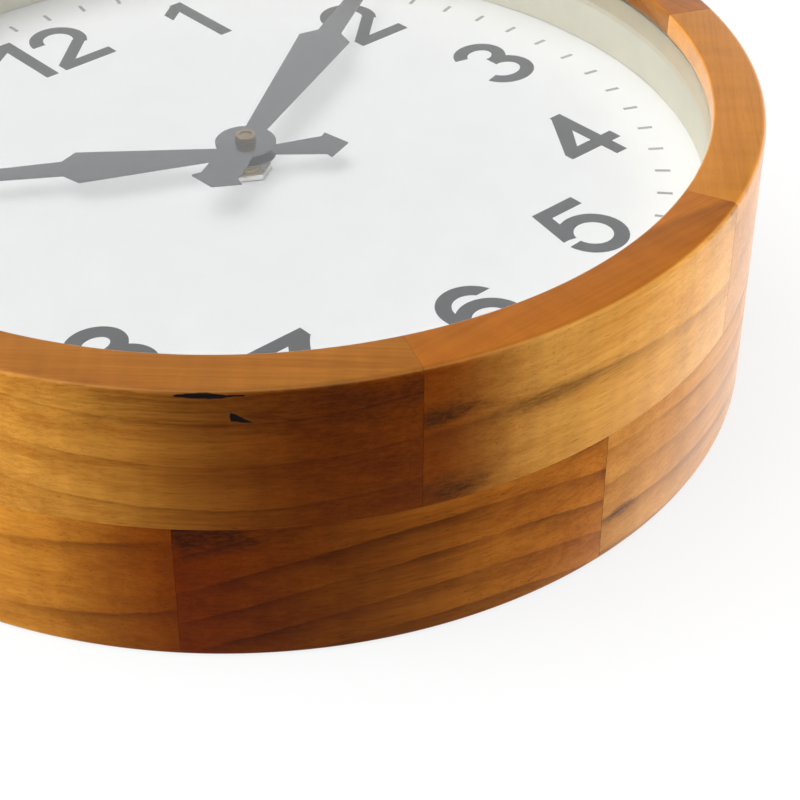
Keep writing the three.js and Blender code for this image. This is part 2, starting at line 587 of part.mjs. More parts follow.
// Turns at rest: each wheel follows the one before it. A wheel and its own pinion share one turn.
const THIRD_TURN = meshedTurn(0, TEETH.centre, PINION_TEETH, THIRD_BEARING);
const FOURTH_TURN = meshedTurn(THIRD_TURN, TEETH.third, PINION_TEETH, FOURTH_BEARING);
const FIFTH_TURN = meshedTurn(FOURTH_TURN, TEETH.fourth, PINION_TEETH, FIFTH_BEARING);
const ROTOR_TURN = meshedTurn(FIFTH_TURN, TEETH.fifth, PINION_TEETH, ROTOR_BEARING);
const MOTION_TURN = meshedTurn(0, TEETH.cannon, TEETH.motion, MOTION_BEARING);
const KNOB_TURN = meshedTurn(MOTION_TURN, TEETH.motion, TEETH.cannon, KNOB_BEARING);
const HOUR_TURN = meshedTurn(MOTION_TURN, TEETH.motionPinion, TEETH.hour, MOTION_BEARING + 180);

// A toothed wheel with tapered teeth, one of them on the X axis.
function gearShape(teeth, module, hole) {
  const pitch = 2 * Math.PI / teeth;
  const radius = pitchRadius(teeth, module);
  const root = radius - DEDENDUM * module;
  const tip = radius + ADDENDUM * module;
  const corners = [[root, -TOOTH_ROOT], [tip, -TOOTH_TIP], [tip, TOOTH_TIP], [root, TOOTH_ROOT]];
  const outline = [];
  for (let tooth = 0; tooth < teeth; tooth++) {
    corners.forEach(([distance, share]) => outline.push(polar(distance, (tooth + share / 2) * pitch)));
  }
  const shape = new THREE.Shape(outline);
  if (hole) shape.holes.push(circle(new THREE.Vector2(), hole));
  return shape;
}

// A wheel with the six-leaved pinion that stands on it and the arbor that carries both.
function trainWheel(teeth, top, pinionModule) {
  const bottom = top - WHEEL_THICKNESS;
  const pinionTop = top + LEVEL_GAP + WHEEL_THICKNESS + PINION_OVERHANG;
  return join(
    plate(gearShape(teeth, TRAIN_MODULE), bottom, top),
    plate(gearShape(PINION_TEETH, pinionModule), bottom, pinionTop),
    rod(PIVOT_RADIUS, PIVOT_LOW, PIVOT_HIGH),
  );
}

function placeWheel(name, geometry, axis, turn, finish = 'gear') {
  const wheel = add(name, geometry, finish);
  wheel.position.set(axis.x, axis.y, 0);
  wheel.rotation.z = turn;
}

function buildGoingTrain() {
  const centreShape = gearShape(TEETH.centre, CENTRE_MODULE, ARBOR_RADIUS + FIT_GAP);
  placeWheel('centre_wheel', plate(centreShape, CENTRE_BOTTOM, CENTRE_TOP), CENTRE_AXIS, 0);
  placeWheel('third_wheel', trainWheel(TEETH.third, THIRD_TOP, CENTRE_MODULE), THIRD_AXIS, THIRD_TURN);
  placeWheel('fourth_wheel', trainWheel(TEETH.fourth, FOURTH_TOP, TRAIN_MODULE), FOURTH_AXIS, FOURTH_TURN);
  placeWheel('fifth_wheel', trainWheel(TEETH.fifth, FIFTH_TOP, TRAIN_MODULE), FIFTH_AXIS, FIFTH_TURN);
  const rotor = join(
    rod(MAGNET_RADIUS, MAGNET_BOTTOM, ROTOR_PINION_BOTTOM, ROUND_SIDES),
    plate(gearShape(PINION_TEETH, TRAIN_MODULE), MAGNET_BOTTOM, FIFTH_TOP + PINION_OVERHANG),
    rod(PIVOT_RADIUS, PIVOT_LOW, PIVOT_HIGH),
  );
  placeWheel('rotor', rotor, ROTOR_AXIS, ROTOR_TURN, 'magnet');
}

// The wheels that turn the hour hand once for twelve turns of the minute hand.
function buildMotionWork() {
  const arbor = join(
    rod(ARBOR_RADIUS, PIVOT_LOW, BUSH_TOP - ARBOR_SUNK, ROUND_SIDES),
    plate(gearShape(TEETH.cannon, MOTION_MODULE), CANNON_BOTTOM, CANNON_TOP),
  );
  placeWheel('minute_arbor', arbor, CENTRE_AXIS, 0, 'brass');
  const motionBore = POST_RADIUS + FIT_GAP;
  const motion = join(
    plate(gearShape(TEETH.motion, MOTION_MODULE, motionBore), MOTION_BOTTOM, MOTION_TOP),
    plate(gearShape(TEETH.motionPinion, MOTION_MODULE, motionBore), MOTION_BOTTOM, HOUR_WHEEL_TOP),
  );
  placeWheel('motion_wheel', motion, MOTION_AXIS, MOTION_TURN);
  const hour = join(
    plate(gearShape(TEETH.hour, MOTION_MODULE, PIPE_BORE), HOUR_WHEEL_BOTTOM, HOUR_WHEEL_TOP),
    ring(PIPE_RADIUS, PIPE_BORE, HOUR_WHEEL_BOTTOM, PIPE_TOP, ROUND_SIDES),
  );
  placeWheel('hour_wheel', hour, CENTRE_AXIS, HOUR_TURN);
}

function buildSettingKnob() {
  const flutes = Array.from({ length: 2 * KNOB_FLUTES }, (_, i) => {
    const inset = i % 2 ? KNOB_FLUTE_DEPTH : 0;
    return polar(KNOB_RADIUS - inset, i * Math.PI / KNOB_FLUTES);
  });
  const knobTop = MOVEMENT_BACK - FIT_GAP;
  const knob = join(
    plate(new THREE.Shape(flutes), knobTop - KNOB_HEIGHT, knobTop),
    rod(KNOB_ARBOR, knobTop - KNOB_HEIGHT / 2, PIVOT_HIGH),
    plate(gearShape(TEETH.cannon, MOTION_MODULE), CANNON_BOTTOM, CANNON_TOP),
  );
  placeWheel('setting_knob', knob, KNOB_AXIS, KNOB_TURN, 'housing');
}

// A tray with one bay for the wheels and a notched one for the battery, and a flat cover over the wheels.
function buildMovementHousing() {
  const half = MOVEMENT_SIDE / 2;
  const inside = half - MOVEMENT_WALL;
  const outline = () => roundedRectangle(-half, -half, half, half, MOVEMENT_CORNER);
  const front = outline();
  front.holes.push(circle(CENTRE_AXIS, STEM_RADIUS + FIT_GAP), circle(KNOB_AXIS, KNOB_ARBOR + FIT_GAP));
  PIVOTED_AXES.forEach((axis) => front.holes.push(circle(axis, PIVOT_RADIUS + FIT_GAP)));
  const walls = outline();
  walls.holes.push(
    rectangle(-inside, BAY_WALL_Y, inside, inside),
    rectangle(-inside, -inside, inside, BAY_WALL_Y - MOVEMENT_WALL),
  );
  const post = rod(POST_RADIUS, MOTION_BOTTOM, MOVEMENT_FRONT - MOVEMENT_PLATE / 2);
  const tray = join(
    plate(front, PLATE_INSIDE, MOVEMENT_FRONT),
    plate(walls, COVER_INSIDE + SEAT_GAP, MOVEMENT_FRONT - MOVEMENT_PLATE / 2),
    post.translate(MOTION_AXIS.x, MOTION_AXIS.y, 0),
  );
  const notch = roundedRectangle(-NOTCH_WIDTH / 2, MOVEMENT_BACK - NOTCH_CORNER, NOTCH_WIDTH / 2,
    MOVEMENT_BACK + NOTCH_DEPTH, NOTCH_CORNER);
  const notchTool = plate(notch, inside - FIT_GAP, half + FIT_GAP).rotateX(Math.PI / 2);
  add('movement_case', cut(tray, notchTool), 'housing');

  const lid = roundedRectangle(-half, BAY_WALL_Y - MOVEMENT_WALL, half, half, MOVEMENT_WALL);
  lid.holes.push(circle(CENTRE_AXIS, ARBOR_RADIUS + FIT_GAP), circle(KNOB_AXIS, KNOB_ARBOR + FIT_GAP));
  PIVOTED_AXES.forEach((axis) => lid.holes.push(circle(axis, PIVOT_RADIUS + FIT_GAP)));
  add('movement_cover', plate(lid, MOVEMENT_BACK, COVER_INSIDE), 'housing');
}

// A U of sheet iron round the rotor, closed by the core that runs through the coil.
function buildStepMotor() {
  const barBottom = ROTOR_AXIS.y - STATOR_BAR / 2;
  const barTop = ROTOR_AXIS.y + STATOR_BAR / 2;
  const legTop = COIL_Y + CORE_WIDTH / 2;
  const legLeft = STATOR_LEFT + STATOR_LEG;
  const legRight = STATOR_RIGHT - STATOR_LEG;
  const stator = new THREE.Shape().setFromPoints([
    [STATOR_LEFT, barBottom], [STATOR_RIGHT, barBottom], [STATOR_RIGHT, legTop], [legRight, legTop],
    [legRight, barTop], [legLeft, barTop], [legLeft, legTop], [STATOR_LEFT, legTop],
  ].map(([x, y]) => new THREE.Vector2(x, y)));
  stator.holes.push(circle(ROTOR_AXIS, STATOR_HOLE));
  add('stator', plate(stator, STATOR_BOTTOM, STATOR_BOTTOM + STATOR_SHEET, ROUND_SIDES / 2), 'steel');

  const coreTop = CORE_BOTTOM + STATOR_SHEET;
  const core = rectangle(STATOR_LEFT, COIL_Y - CORE_WIDTH / 2, STATOR_RIGHT, legTop);
  add('coil_core', plate(core, CORE_BOTTOM, coreTop), 'steel');
  const half = COIL_LENGTH / 2;
  const web = half - COIL_FLANGE_WIDTH;
  const coilX = (STATOR_LEFT + STATOR_RIGHT) / 2;
  const coilZ = (CORE_BOTTOM + coreTop) / 2;
  const along = (geometry) => geometry.rotateY(Math.PI / 2).translate(coilX, COIL_Y, coilZ);
  add('coil_bobbin', along(revolve([
    [COIL_BORE, -half], [COIL_FLANGE, -half], [COIL_FLANGE, -web], [COIL_TUBE, -web], [COIL_TUBE, web],
    [COIL_FLANGE, web], [COIL_FLANGE, half], [COIL_BORE, half], [COIL_BORE, -half],
  ], ROUND_SIDES)), 'gear');
  const windingEnd = web - SEAT_GAP;
  const winding = ring(COIL_WINDING, COIL_TUBE + SEAT_GAP, -windingEnd, windingEnd, ROUND_SIDES);
  add('coil_winding', along(winding), 'copper');
}

function buildCircuit() {
  const right = MOVEMENT_SIDE / 2 - MOVEMENT_WALL - FIT_GAP;
  const low = BAY_WALL_Y + FIT_GAP;
  const boardBottom = COVER_INSIDE + SEAT_GAP;
  const boardTop = boardBottom + BOARD_SHEET;
  const left = KNOB_AXIS.x + KNOB_ARBOR + BOARD_CLEARANCE;
  const strip = rectangle(left, low, right, low + BOARD_LENGTH);
  add('circuit_board', plate(strip, boardBottom, boardTop), 'circuit');
  const crystal = rod(CRYSTAL_RADIUS, -CRYSTAL_LENGTH / 2, CRYSTAL_LENGTH / 2).rotateX(Math.PI / 2);
  crystal.translate((left + right) / 2, low + BOARD_LENGTH / 2, boardTop + SEAT_GAP + CRYSTAL_RADIUS);
  add('quartz_crystal', crystal, 'nickel');
}

// A penlight cell along the lower bay, between a flat contact and a bowed one.
function buildBattery() {
  const inside = MOVEMENT_SIDE / 2 - MOVEMENT_WALL;
  const bayY = (BAY_WALL_Y - MOVEMENT_WALL - inside) / 2;
  const level = PLATE_INSIDE - FIT_GAP - BATTERY_RADIUS;
  const plusFace = inside - SEAT_GAP - CONTACT_SHEET;
  const plusEnd = plusFace - SEAT_GAP;
  const cell = revolve([
    [0, -BATTERY_BODY], [BATTERY_RADIUS, -BATTERY_BODY], [BATTERY_RADIUS, 0], [BATTERY_NUB_RADIUS, 0],
    [BATTERY_NUB_RADIUS, BATTERY_NUB], [0, BATTERY_NUB],
  ], ROUND_SIDES);
  add('battery', cell.rotateY(Math.PI / 2).translate(plusEnd - BATTERY_NUB, bayY, level), 'battery');

  const contact = (left, right) => rectangle(left, bayY - CONTACT_WIDTH / 2, right, bayY + CONTACT_WIDTH / 2);
  const contactBottom = level - CONTACT_WIDTH / 2;
  const contactTop = level + CONTACT_WIDTH / 2;
  const flat = contact(plusFace, plusFace + CONTACT_SHEET);
  add('battery_plus_contact', plate(flat, contactBottom, contactTop), 'nickel');

  const wallFace = -inside + SEAT_GAP;
  const bow = new THREE.Shape()
    .moveTo(wallFace, bayY - CONTACT_WIDTH / 2)
    .quadraticCurveTo(wallFace + 2 * CONTACT_BOW, bayY, wallFace, bayY + CONTACT_WIDTH / 2)
    .lineTo(wallFace + CONTACT_SHEET, bayY + CONTACT_WIDTH / 2)
    .quadraticCurveTo(wallFace + CONTACT_SHEET + 2 * CONTACT_BOW, bayY, wallFace + CONTACT_SHEET,
      bayY - CONTACT_WIDTH / 2);
  add('battery_minus_contact', plate(bow, contactBottom, contactTop), 'nickel');
}

buildCase();
buildFace();
buildClips();
buildHanger();
buildHands();
buildStem();
buildMotionWork();
buildSettingKnob();
buildGoingTrain();
buildMovementHousing();
buildStepMotor();
buildCircuit();
buildBattery();

export default clock;
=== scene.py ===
"""Looks of a round wall clock in glued wooden blocks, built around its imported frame."""
import math
from dataclasses import dataclass

import bmesh
import bpy
import numpy as np
from bpy.props import FloatProperty, FloatVectorProperty, IntProperty, PointerProperty
from mathutils import Matrix, Vector
from mathutils.geometry import delaunay_2d_cdt


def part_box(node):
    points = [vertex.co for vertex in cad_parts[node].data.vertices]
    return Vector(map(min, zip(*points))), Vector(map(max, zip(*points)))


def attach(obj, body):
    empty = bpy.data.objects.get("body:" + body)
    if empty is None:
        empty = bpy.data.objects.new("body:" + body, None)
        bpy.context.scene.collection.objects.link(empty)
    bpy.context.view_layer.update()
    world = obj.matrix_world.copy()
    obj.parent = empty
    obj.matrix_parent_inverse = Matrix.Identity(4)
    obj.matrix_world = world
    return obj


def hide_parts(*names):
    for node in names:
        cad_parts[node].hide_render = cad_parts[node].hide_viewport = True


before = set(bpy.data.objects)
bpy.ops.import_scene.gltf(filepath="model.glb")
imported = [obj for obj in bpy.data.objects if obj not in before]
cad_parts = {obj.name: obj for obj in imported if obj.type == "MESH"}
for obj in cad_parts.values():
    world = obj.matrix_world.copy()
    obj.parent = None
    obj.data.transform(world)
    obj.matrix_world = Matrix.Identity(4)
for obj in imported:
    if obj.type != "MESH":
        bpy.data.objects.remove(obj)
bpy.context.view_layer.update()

bl_info = {
    "name": "Wooden Wall Clock",
    "version": (1, 0, 0),
    "blender": (4, 5, 0),
    "location": "View3D > Sidebar > Wall Clock",
    "description": "Finishes a round wall clock of glued wooden blocks around its construction frame",
    "category": "Object",
}

MM = 0.001
TURN = 2 * math.pi
CASE = "clock_case"


def corners(mesh):
    """Corners of a mesh, one in each row."""
    places = np.empty(len(mesh.vertices) * 3, np.float32)
    mesh.vertices.foreach_get("co", places)
    return places.reshape(-1, 3)


def radii(node):
    """Smallest and largest distance of a node's corners from the clock's axis."""
    places = corners(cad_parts[node].data)
    reach = np.hypot(places[:, 0], places[:, 1])
    return float(reach.min()), float(reach.max())


def heights(node):
    """Heights of a node's underside and top."""
    return tuple(corner[2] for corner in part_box(node))


def extent(node):
    """Lowest corner, highest corner and middle of a node's box."""
    low, high = (np.array(corner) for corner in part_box(node))
    return low, high, (low + high) / 2


LIP_RADIUS, CASE_RADIUS = radii("front_block_2")
BORE_RADIUS = radii("back_block_2")[0]
CASE_DEPTH = heights("front_block_1")[1]
SEAM = (heights("front_block_1")[0] + heights("back_block_2")[1]) / 2
GLASS_GAP = 0.1 * MM
LIP_UNDERSIDE = heights("glass")[1] + GLASS_GAP
DIAL_TOP = heights("dial_plate")[1]

# Joints of the blocks, degrees anticlockwise from three o'clock: the first one and the first block's span
BLOCK_COUNT = 8
LAYERS = {"front": (-112.3, 43.8), "back": (-136.1, 45.3)}


def block_span(layer, index):
    """Start and end of a block, in radians: the first span is as given, the others share the rest evenly."""
    first, span = LAYERS[layer]
    rest = (360 - span) / (BLOCK_COUNT - 1)
    start = first + (span + (index - 1) * rest if index else 0)
    return math.radians(start), math.radians(start + (rest if index else span))


# Settings
def length(name, description, size):
    """Property for a length, its default in millimetres."""
    return FloatProperty(name=name, description=description, default=size * MM, unit="LENGTH")


def angle(name, description, size):
    """Property for an angle, its default in degrees."""
    return FloatProperty(name=name, description=description, default=math.radians(size), subtype="ANGLE")


def tint(name, description, default):
    """Property for a colour."""
    return FloatVectorProperty(name=name, description=description, default=default, subtype="COLOR")


class CaseSettings(bpy.types.PropertyGroup):
    """Edges and finish of the wooden case"""
    front_round: length("Front edge", "Radius of the outer front edge", 1.4)
    lip_round: length("Lip edge", "Radius of the edge beside the glass", 0.6)
    back_round: length("Back edge", "Radius of the outer back edge", 1)
    seam_round: length("Seam edge", "Radius of the sanded edges at the seam", 0.04)
    joint_gap: length("Joint", "Width of the glue joint between blocks", 0.02)
    steps: IntProperty(name="Steps", description="Steps along each block", default=96, min=8)


class FaceSettings(bpy.types.PropertyGroup):
    """Print of the dial and the ring that keeps it off the glass"""
    numeral_radius: length("Numeral circle", "Axis to the middle of each numeral", 85.2)
    tick_radius: length("Minute circle", "Axis to the middle of each minute mark", 103.1)
    tick_length: length("Mark length", "Length of a minute mark", 3.8)
    tick_width: length("Mark width", "Width of a minute mark", 1)
    print_height: length("Print height", "Thickness of the printed film", 0.03)
    paint: tint("Dial", "Colour of the dial", (0.95, 0.955, 0.96))
    ink: tint("Print", "Colour of the numerals", (0.03, 0.033, 0.037))
    tick_ink: tint("Marks", "Colour of the minute marks", (0.32, 0.325, 0.33))
    cream: tint("Spacer", "Colour of the spacer ring", (0.98, 0.93, 0.72))


class HandSettings(bpy.types.PropertyGroup):
    """Rest places and finish of the hands"""
    hour_rest: angle("Hour hand", "Clockwise from twelve", 301.5)
    minute_rest: angle("Minute hand", "Clockwise from twelve", 60)
    hub_radius: length("Hub", "Radius of the disc round the axis", 7.5)
    bevel: length("Edge", "Bevel of the pressed sheet's edges", 0.06)
    paint: tint("Hands", "Colour of the hands", (0.112, 0.115, 0.121))


class BackSettings(bpy.types.PropertyGroup):
    """Edges of the pieces behind the dial"""
    metal_edge: length("Metal edge", "Bevel of pressed metal", 0.15)
    moulded_edge: length("Moulded edge", "Bevel of moulded plastic", 0.35)
    wood_edge: length("Wood edge", "Bevel of the hanger block", 0.5)


class StageSettings(bpy.types.PropertyGroup):
    """Camera, lamps and floor"""
    camera_place: FloatVectorProperty(name="Camera", description="Where the camera stands",
                                      default=(-0.26911, -0.35188, 0.30530), subtype="XYZ", unit="LENGTH")
    camera_aim: FloatVectorProperty(name="Aim", description="Direction in which the camera looks",
                                    default=(0.53896, 0.59134, -0.5999), subtype="DIRECTION")
    camera_roll: angle("Roll", "Turn of the camera about its aim", 0.2)
    lens: FloatProperty(name="Lens", description="Focal length in millimetres", default=92.39)
    fill: FloatProperty(name="Fill", description="Even light from all round", default=0.02, min=0)
    dome: FloatProperty(name="Dome", description="Soft light from above and behind", default=4.15, min=0)
    dome_aim: FloatVectorProperty(name="Dome middle", description="Direction of the dome's brightest part",
                                  default=(-0.387, 0.513, 0.766), subtype="DIRECTION")
    floor_drop: length("Floor", "Gap under the case", 0.3)


class ClockSettings(bpy.types.PropertyGroup):
    """All settings of the clock"""
    case: PointerProperty(type=CaseSettings)
    face: PointerProperty(type=FaceSettings)
    hands: PointerProperty(type=HandSettings)
    back: PointerProperty(type=BackSettings)
    stage: PointerProperty(type=StageSettings)


# Shapes: each is an array of points and a list of faces
def quads(rows, columns, loop=False, around=False):
    """Faces of a grid: loop joins the last row to the first, around the last column to the first."""
    row = np.arange(rows if loop else rows - 1)[:, None]
    column = np.arange(columns if around else columns - 1)[None, :]
    above, beside = (row + 1) % rows, (column + 1) % columns
    corners = [row * columns + column, row * columns + beside, above * columns + beside,
               above * columns + column]
    return np.stack(np.broadcast_arrays(*corners), axis=-1).reshape(-1, 4).tolist()


def carried(profile, angles):
    """Profile of (radius, height) points turned about the Z axis: (r cos a, r sin a, z) for each angle a.

    The profile may also be given once for each angle. Rows follow the profile, columns the angles.
    """
    angles = np.asarray(angles)[:, None]
    profile = np.broadcast_to(profile, (len(angles),) + np.shape(profile)[-2:])
    radius, height = profile[..., 0], profile[..., 1]
    points = np.stack([radius * np.cos(angles), radius * np.sin(angles), height], axis=-1)
    return points.transpose(1, 0, 2)


def revolved(profile, sides, ring=True):
    """Profile carried once round the axis: a ring if it closes on itself, else capped at its ends."""
    rows = np.shape(profile)[-2]
    points = carried(profile, np.arange(sides) * TURN / sides).reshape(-1, 3)
    faces = quads(rows, sides, loop=ring, around=True)
    if not ring:
        last = (rows - 1) * sides
        faces += [list(range(sides))[::-1], list(range(last, last + sides))]
    return points, faces


def rounded(corners, radius, steps=5):
    """Closed outline with an arc at each corner: the circle of that radius that touches both sides."""
    here = np.asarray(corners, float)
    radius = np.broadcast_to(radius, len(here))[:, None]
    back = np.roll(here, 1, axis=0) - here
    ahead = np.roll(here, -1, axis=0) - here
    back /= np.linalg.norm(back, axis=1, keepdims=True)
    ahead /= np.linalg.norm(ahead, axis=1, keepdims=True)
    half = np.arccos(np.clip(np.sum(back * ahead, axis=1), -1, 1))[:, None] / 2
    bisector = (back + ahead) / np.linalg.norm(back + ahead, axis=1, keepdims=True)
    centre = here + bisector * radius / np.sin(half)
    first = here + back * radius / np.tan(half) - centre
    last = here + ahead * radius / np.tan(half) - centre
    share = np.linspace(0, 1, steps + 1)[None, :, None]
    sweep = (math.pi - 2 * half)[:, :, None]
    arcs = np.sin((1 - share) * sweep) * first[:, None] + np.sin(share * sweep) * last[:, None]
    arcs = arcs / np.sin(sweep)
    points = (centre[:, None] + arcs).reshape(-1, 2)
    apart = np.linalg.norm(points - np.roll(points, 1, axis=0), axis=1)
    return points[apart > 1e-9]


def inset(loop, distance):
    """Loop moved to its left: each corner goes along the bisector of its two sides."""
    ahead = np.roll(loop, -1, axis=0) - loop
    ahead = ahead / np.linalg.norm(ahead, axis=1, keepdims=True)
    left = np.stack([-ahead[:, 1], ahead[:, 0]], axis=1)
    before = np.roll(left, 1, axis=0)
    return loop + distance * (left + before) / (1 + np.sum(left * before, axis=1, keepdims=True))


def arc(centre, radius, start, end, steps=32):
    """Points of an arc, or of part of an ellipse, from start to end in degrees."""
    angles = np.radians(np.linspace(start, end, steps + 1))
    across, up = np.broadcast_to(radius, 2)
    return np.stack([centre[0] + across * np.cos(angles), centre[1] + up * np.sin(angles)], axis=1)


def triangles(loops):
    """Triangulation of several closed loops: its points, its triangles and the loops that hold each one."""
    starts = np.cumsum([0] + [len(loop) for loop in loops])
    rings = [list(range(a, b)) for a, b in zip(starts, starts[1:])]
    points = [Vector(point) for point in (np.vstack(loops) / MM).tolist()]
    found, _, faces, names, _, holders = delaunay_2d_cdt(points, [], rings, 0, 1e-6)
    return np.array([tuple(point) for point in found]) * MM, faces, names, holders


def plate(outline, holes, bottom, top, bevel):
    """Flat sheet between two levels, its outline and holes carried up the edge with a bevel at each rim.

    The outline runs anticlockwise and the holes clockwise, so that the left of each loop is material.
    """
    loops = [np.asarray(outline), *holes]
    small = [inset(loop, bevel) for loop in loops]
    points, faces, low, high = [], [], [], []
    count = 0
    for loop, rim in zip(loops, small):
        levels = [(rim, bottom), (loop, bottom + bevel), (loop, top - bevel), (rim, top)]
        points += [np.column_stack([row, np.full(len(row), level)]) for row, level in levels]
        faces += (np.array(quads(4, len(loop), around=True)) + count).tolist()
        low += range(count, count + len(loop))
        high += range(count + 3 * len(loop), count + 4 * len(loop))
        count += 4 * len(loop)
    _, found, names, holders = triangles([small[0]] + [rim[::-1] for rim in small[1:]])
    order = np.concatenate([np.arange(len(small[0]))] + [
        start + np.arange(len(rim))[::-1]
        for rim, start in zip(small[1:], np.cumsum([len(rim) for rim in small]))
    ])
    solid = [face for face, inside in zip(found, holders) if list(inside) == [0]]
    sheet = [[order[names[i][0]] for i in face] for face in solid]
    faces += [[high[i] for i in face] for face in sheet] + [[low[i] for i in face[::-1]] for face in sheet]
    return np.vstack(points), faces


def film(strokes, bottom, top):
    """Thin layer over the union of several outlines: the triangles that any of them holds, and their rim."""
    flat, faces, _, holders = triangles(strokes)
    kept = np.array([face for face, inside in zip(faces, holders) if len(inside)])
    sides = np.concatenate([kept[:, [0, 1]], kept[:, [1, 2]], kept[:, [2, 0]]])
    known = set(map(tuple, sides.tolist()))
    rim = np.array([side for side in sides.tolist() if (side[1], side[0]) not in known])
    count = len(flat)
    walls = np.column_stack([rim, rim[:, ::-1] + count])
    points = np.vstack([np.column_stack([flat, np.full(count, level)]) for level in (bottom, top)])
    return points, kept[:, ::-1].tolist() + (kept + count).tolist() + walls.tolist()


def together(*shapes):
    """Several shapes as one."""
    starts = np.cumsum([0] + [len(points) for points, _ in shapes])
    faces = [[i + start for i in face] for (_, ones), start in zip(shapes, starts.tolist()) for face in ones]
    return np.vstack([points for points, _ in shapes]), faces


def placed(shape, matrix):
    """Shape moved by a matrix that keeps its handedness."""
    points, faces = shape
    matrix = np.array(matrix)
    return points @ matrix[:3, :3].T + matrix[:3, 3], faces


def turned(points, angle):
    """Flat points turned anticlockwise about the axis."""
    cos, sin = math.cos(angle), math.sin(angle)
    return points @ np.array([[cos, sin], [-sin, cos]])


def piece(name, shape, material, body, slot, nodes=(), sharp=35, **attributes):
    """Mesh object of a shape, smooth except at edges sharper than the given angle, riding on its body."""
    points, faces = shape
    mesh = bpy.data.meshes.new(name)
    mesh.from_pydata(points.tolist(), [], faces)
    for label, values in attributes.items():
        kind, field = ("FLOAT_VECTOR", "vector") if np.ndim(values) == 2 else ("FLOAT", "value")
        layer = mesh.attributes.new(label, kind, "POINT")
        layer.data.foreach_set(field, np.asarray(values, np.float32).ravel())
    mesh.materials.append(material)
    return hung(name, mesh, body, nodes, sharp)


def hung(name, mesh, body, nodes, sharp):
    """Object for a mesh, shaded, linked and tied to the frame."""
    mesh.shade_smooth()
    mesh.set_sharp_from_angle(angle=math.radians(sharp))
    made = bpy.data.objects.new(name, mesh)
    bpy.context.scene.collection.objects.link(made)
    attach(made, body)
    if nodes:
        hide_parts(*nodes)
    return made


def eased(node, material, body, edge):
    """Copy of a node with its corners merged, its flats joined and its edges bevelled."""
    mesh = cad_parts[node].data.copy()
    form = bmesh.new()
    form.from_mesh(mesh)
    bmesh.ops.remove_doubles(form, verts=form.verts, dist=1e-6)
    bmesh.ops.dissolve_limit(form, angle_limit=math.radians(1), verts=form.verts, edges=form.edges)
    form.to_mesh(mesh)
    form.free()
    mesh.materials.clear()
    mesh.materials.append(material)
    made = hung(node + "_eased", mesh, body, [node], 40)
    bevel = made.modifiers.new("edges", "BEVEL")
    bevel.width = edge
    bevel.segments = 2
    bevel.limit_method = "ANGLE"
    bevel.angle_limit = math.radians(40)
    return made


def clothe(node, material):
    """Material on a node of the frame whose shape stays."""
    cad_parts[node].material_slots[0].material = material


# Node trees
class Tree:
    """A node tree being filled: socket values are numbers, colours or other sockets."""

    def __init__(self, tree):
        self.tree = tree

    def put(self, socket, value):
        """Links a socket to another one, or sets its value."""
        if isinstance(value, bpy.types.NodeSocket):
            self.tree.links.new(value, socket)
        else:
            socket.default_value = value

    def add(self, kind, inputs=None, **settings):
        node = self.tree.nodes.new(kind)
        for name, value in settings.items():
            setattr(node, name, value)
        for name, value in (inputs or {}).items():
            self.put(node.inputs[name], value)
        return node

    def math(self, operation, *values):
        return self.add("ShaderNodeMath", dict(enumerate(values)), operation=operation).outputs[0]

    def vector(self, operation, *values):
        return self.add("ShaderNodeVectorMath", dict(enumerate(values)), operation=operation).outputs

    def scaled(self, vector, scale):
        return self.vector("MULTIPLY", vector, scale)[0]

    def parts(self, vector):
        return self.add("ShaderNodeSeparateXYZ", {0: vector}).outputs

    def noise(self, vector, scale, detail=2.0, roughness=0.5):
        inputs = {"Vector": vector, "Scale": scale, "Detail": detail, "Roughness": roughness}
        return self.add("ShaderNodeTexNoise", inputs).outputs[0]

    def stretched(self, vector, stretch, detail=2.0, roughness=0.5):
        """Noise with its own scale along each axis."""
        return self.noise(self.scaled(vector, stretch), 1.0, detail, roughness)

    def about_zero(self, noise):
        return self.math("SUBTRACT", noise, 0.5)

    def span(self, value, low, high, to_low=0.0, to_high=1.0):
        inputs = {0: value, 1: low, 2: high, 3: to_low, 4: to_high}
        return self.add("ShaderNodeMapRange", inputs, interpolation_type="SMOOTHSTEP").outputs[0]

    def mix(self, factor, first, second, blend="MIX"):
        node = self.add("ShaderNodeMix", {0: factor, 6: first, 7: second}, data_type="RGBA", blend_type=blend)
        return node.outputs[2]

    def bump(self, height, distance, strength):
        inputs = {"Height": height, "Distance": distance, "Strength": strength}
        return self.add("ShaderNodeBump", inputs).outputs[0]

    def group(self, group, inputs):
        return self.add("ShaderNodeGroup", inputs, node_tree=group).outputs

    def blend(self, factor, first, second):
        """Two shaders mixed."""
        return self.add("ShaderNodeMixShader", {0: factor, 1: first.outputs[0], 2: second.outputs[0]})

    def surface(self, output, shader):
        """Sends a shader to the tree's output node."""
        self.tree.links.new(shader.outputs[0], self.tree.nodes[output].inputs["Surface"])

    def object_place(self):
        """Object coordinates in millimetres."""
        return self.scaled(self.add("ShaderNodeTexCoord").outputs["Object"], (1 / MM,) * 3)

    def attribute(self, name, output):
        return self.add("ShaderNodeAttribute", attribute_name=name).outputs[output]


def new_group(name, inputs, outputs):
    """Empty shader node group with named sockets: its tree, and its input sockets."""
    group = bpy.data.node_groups.new(name, "ShaderNodeTree")
    for label, kind in inputs.items():
        group.interface.new_socket(label, in_out="INPUT", socket_type=kind)
    for label, kind in outputs.items():
        group.interface.new_socket(label, in_out="OUTPUT", socket_type=kind)
    tree = Tree(group)
    return tree, tree.add("NodeGroupInput").outputs


def close_group(tree, results):
    """Links the results to the group's outputs."""
    out = tree.add("NodeGroupOutput")
    for label, socket in results.items():
        tree.tree.links.new(socket, out.inputs[label])
    return tree.tree


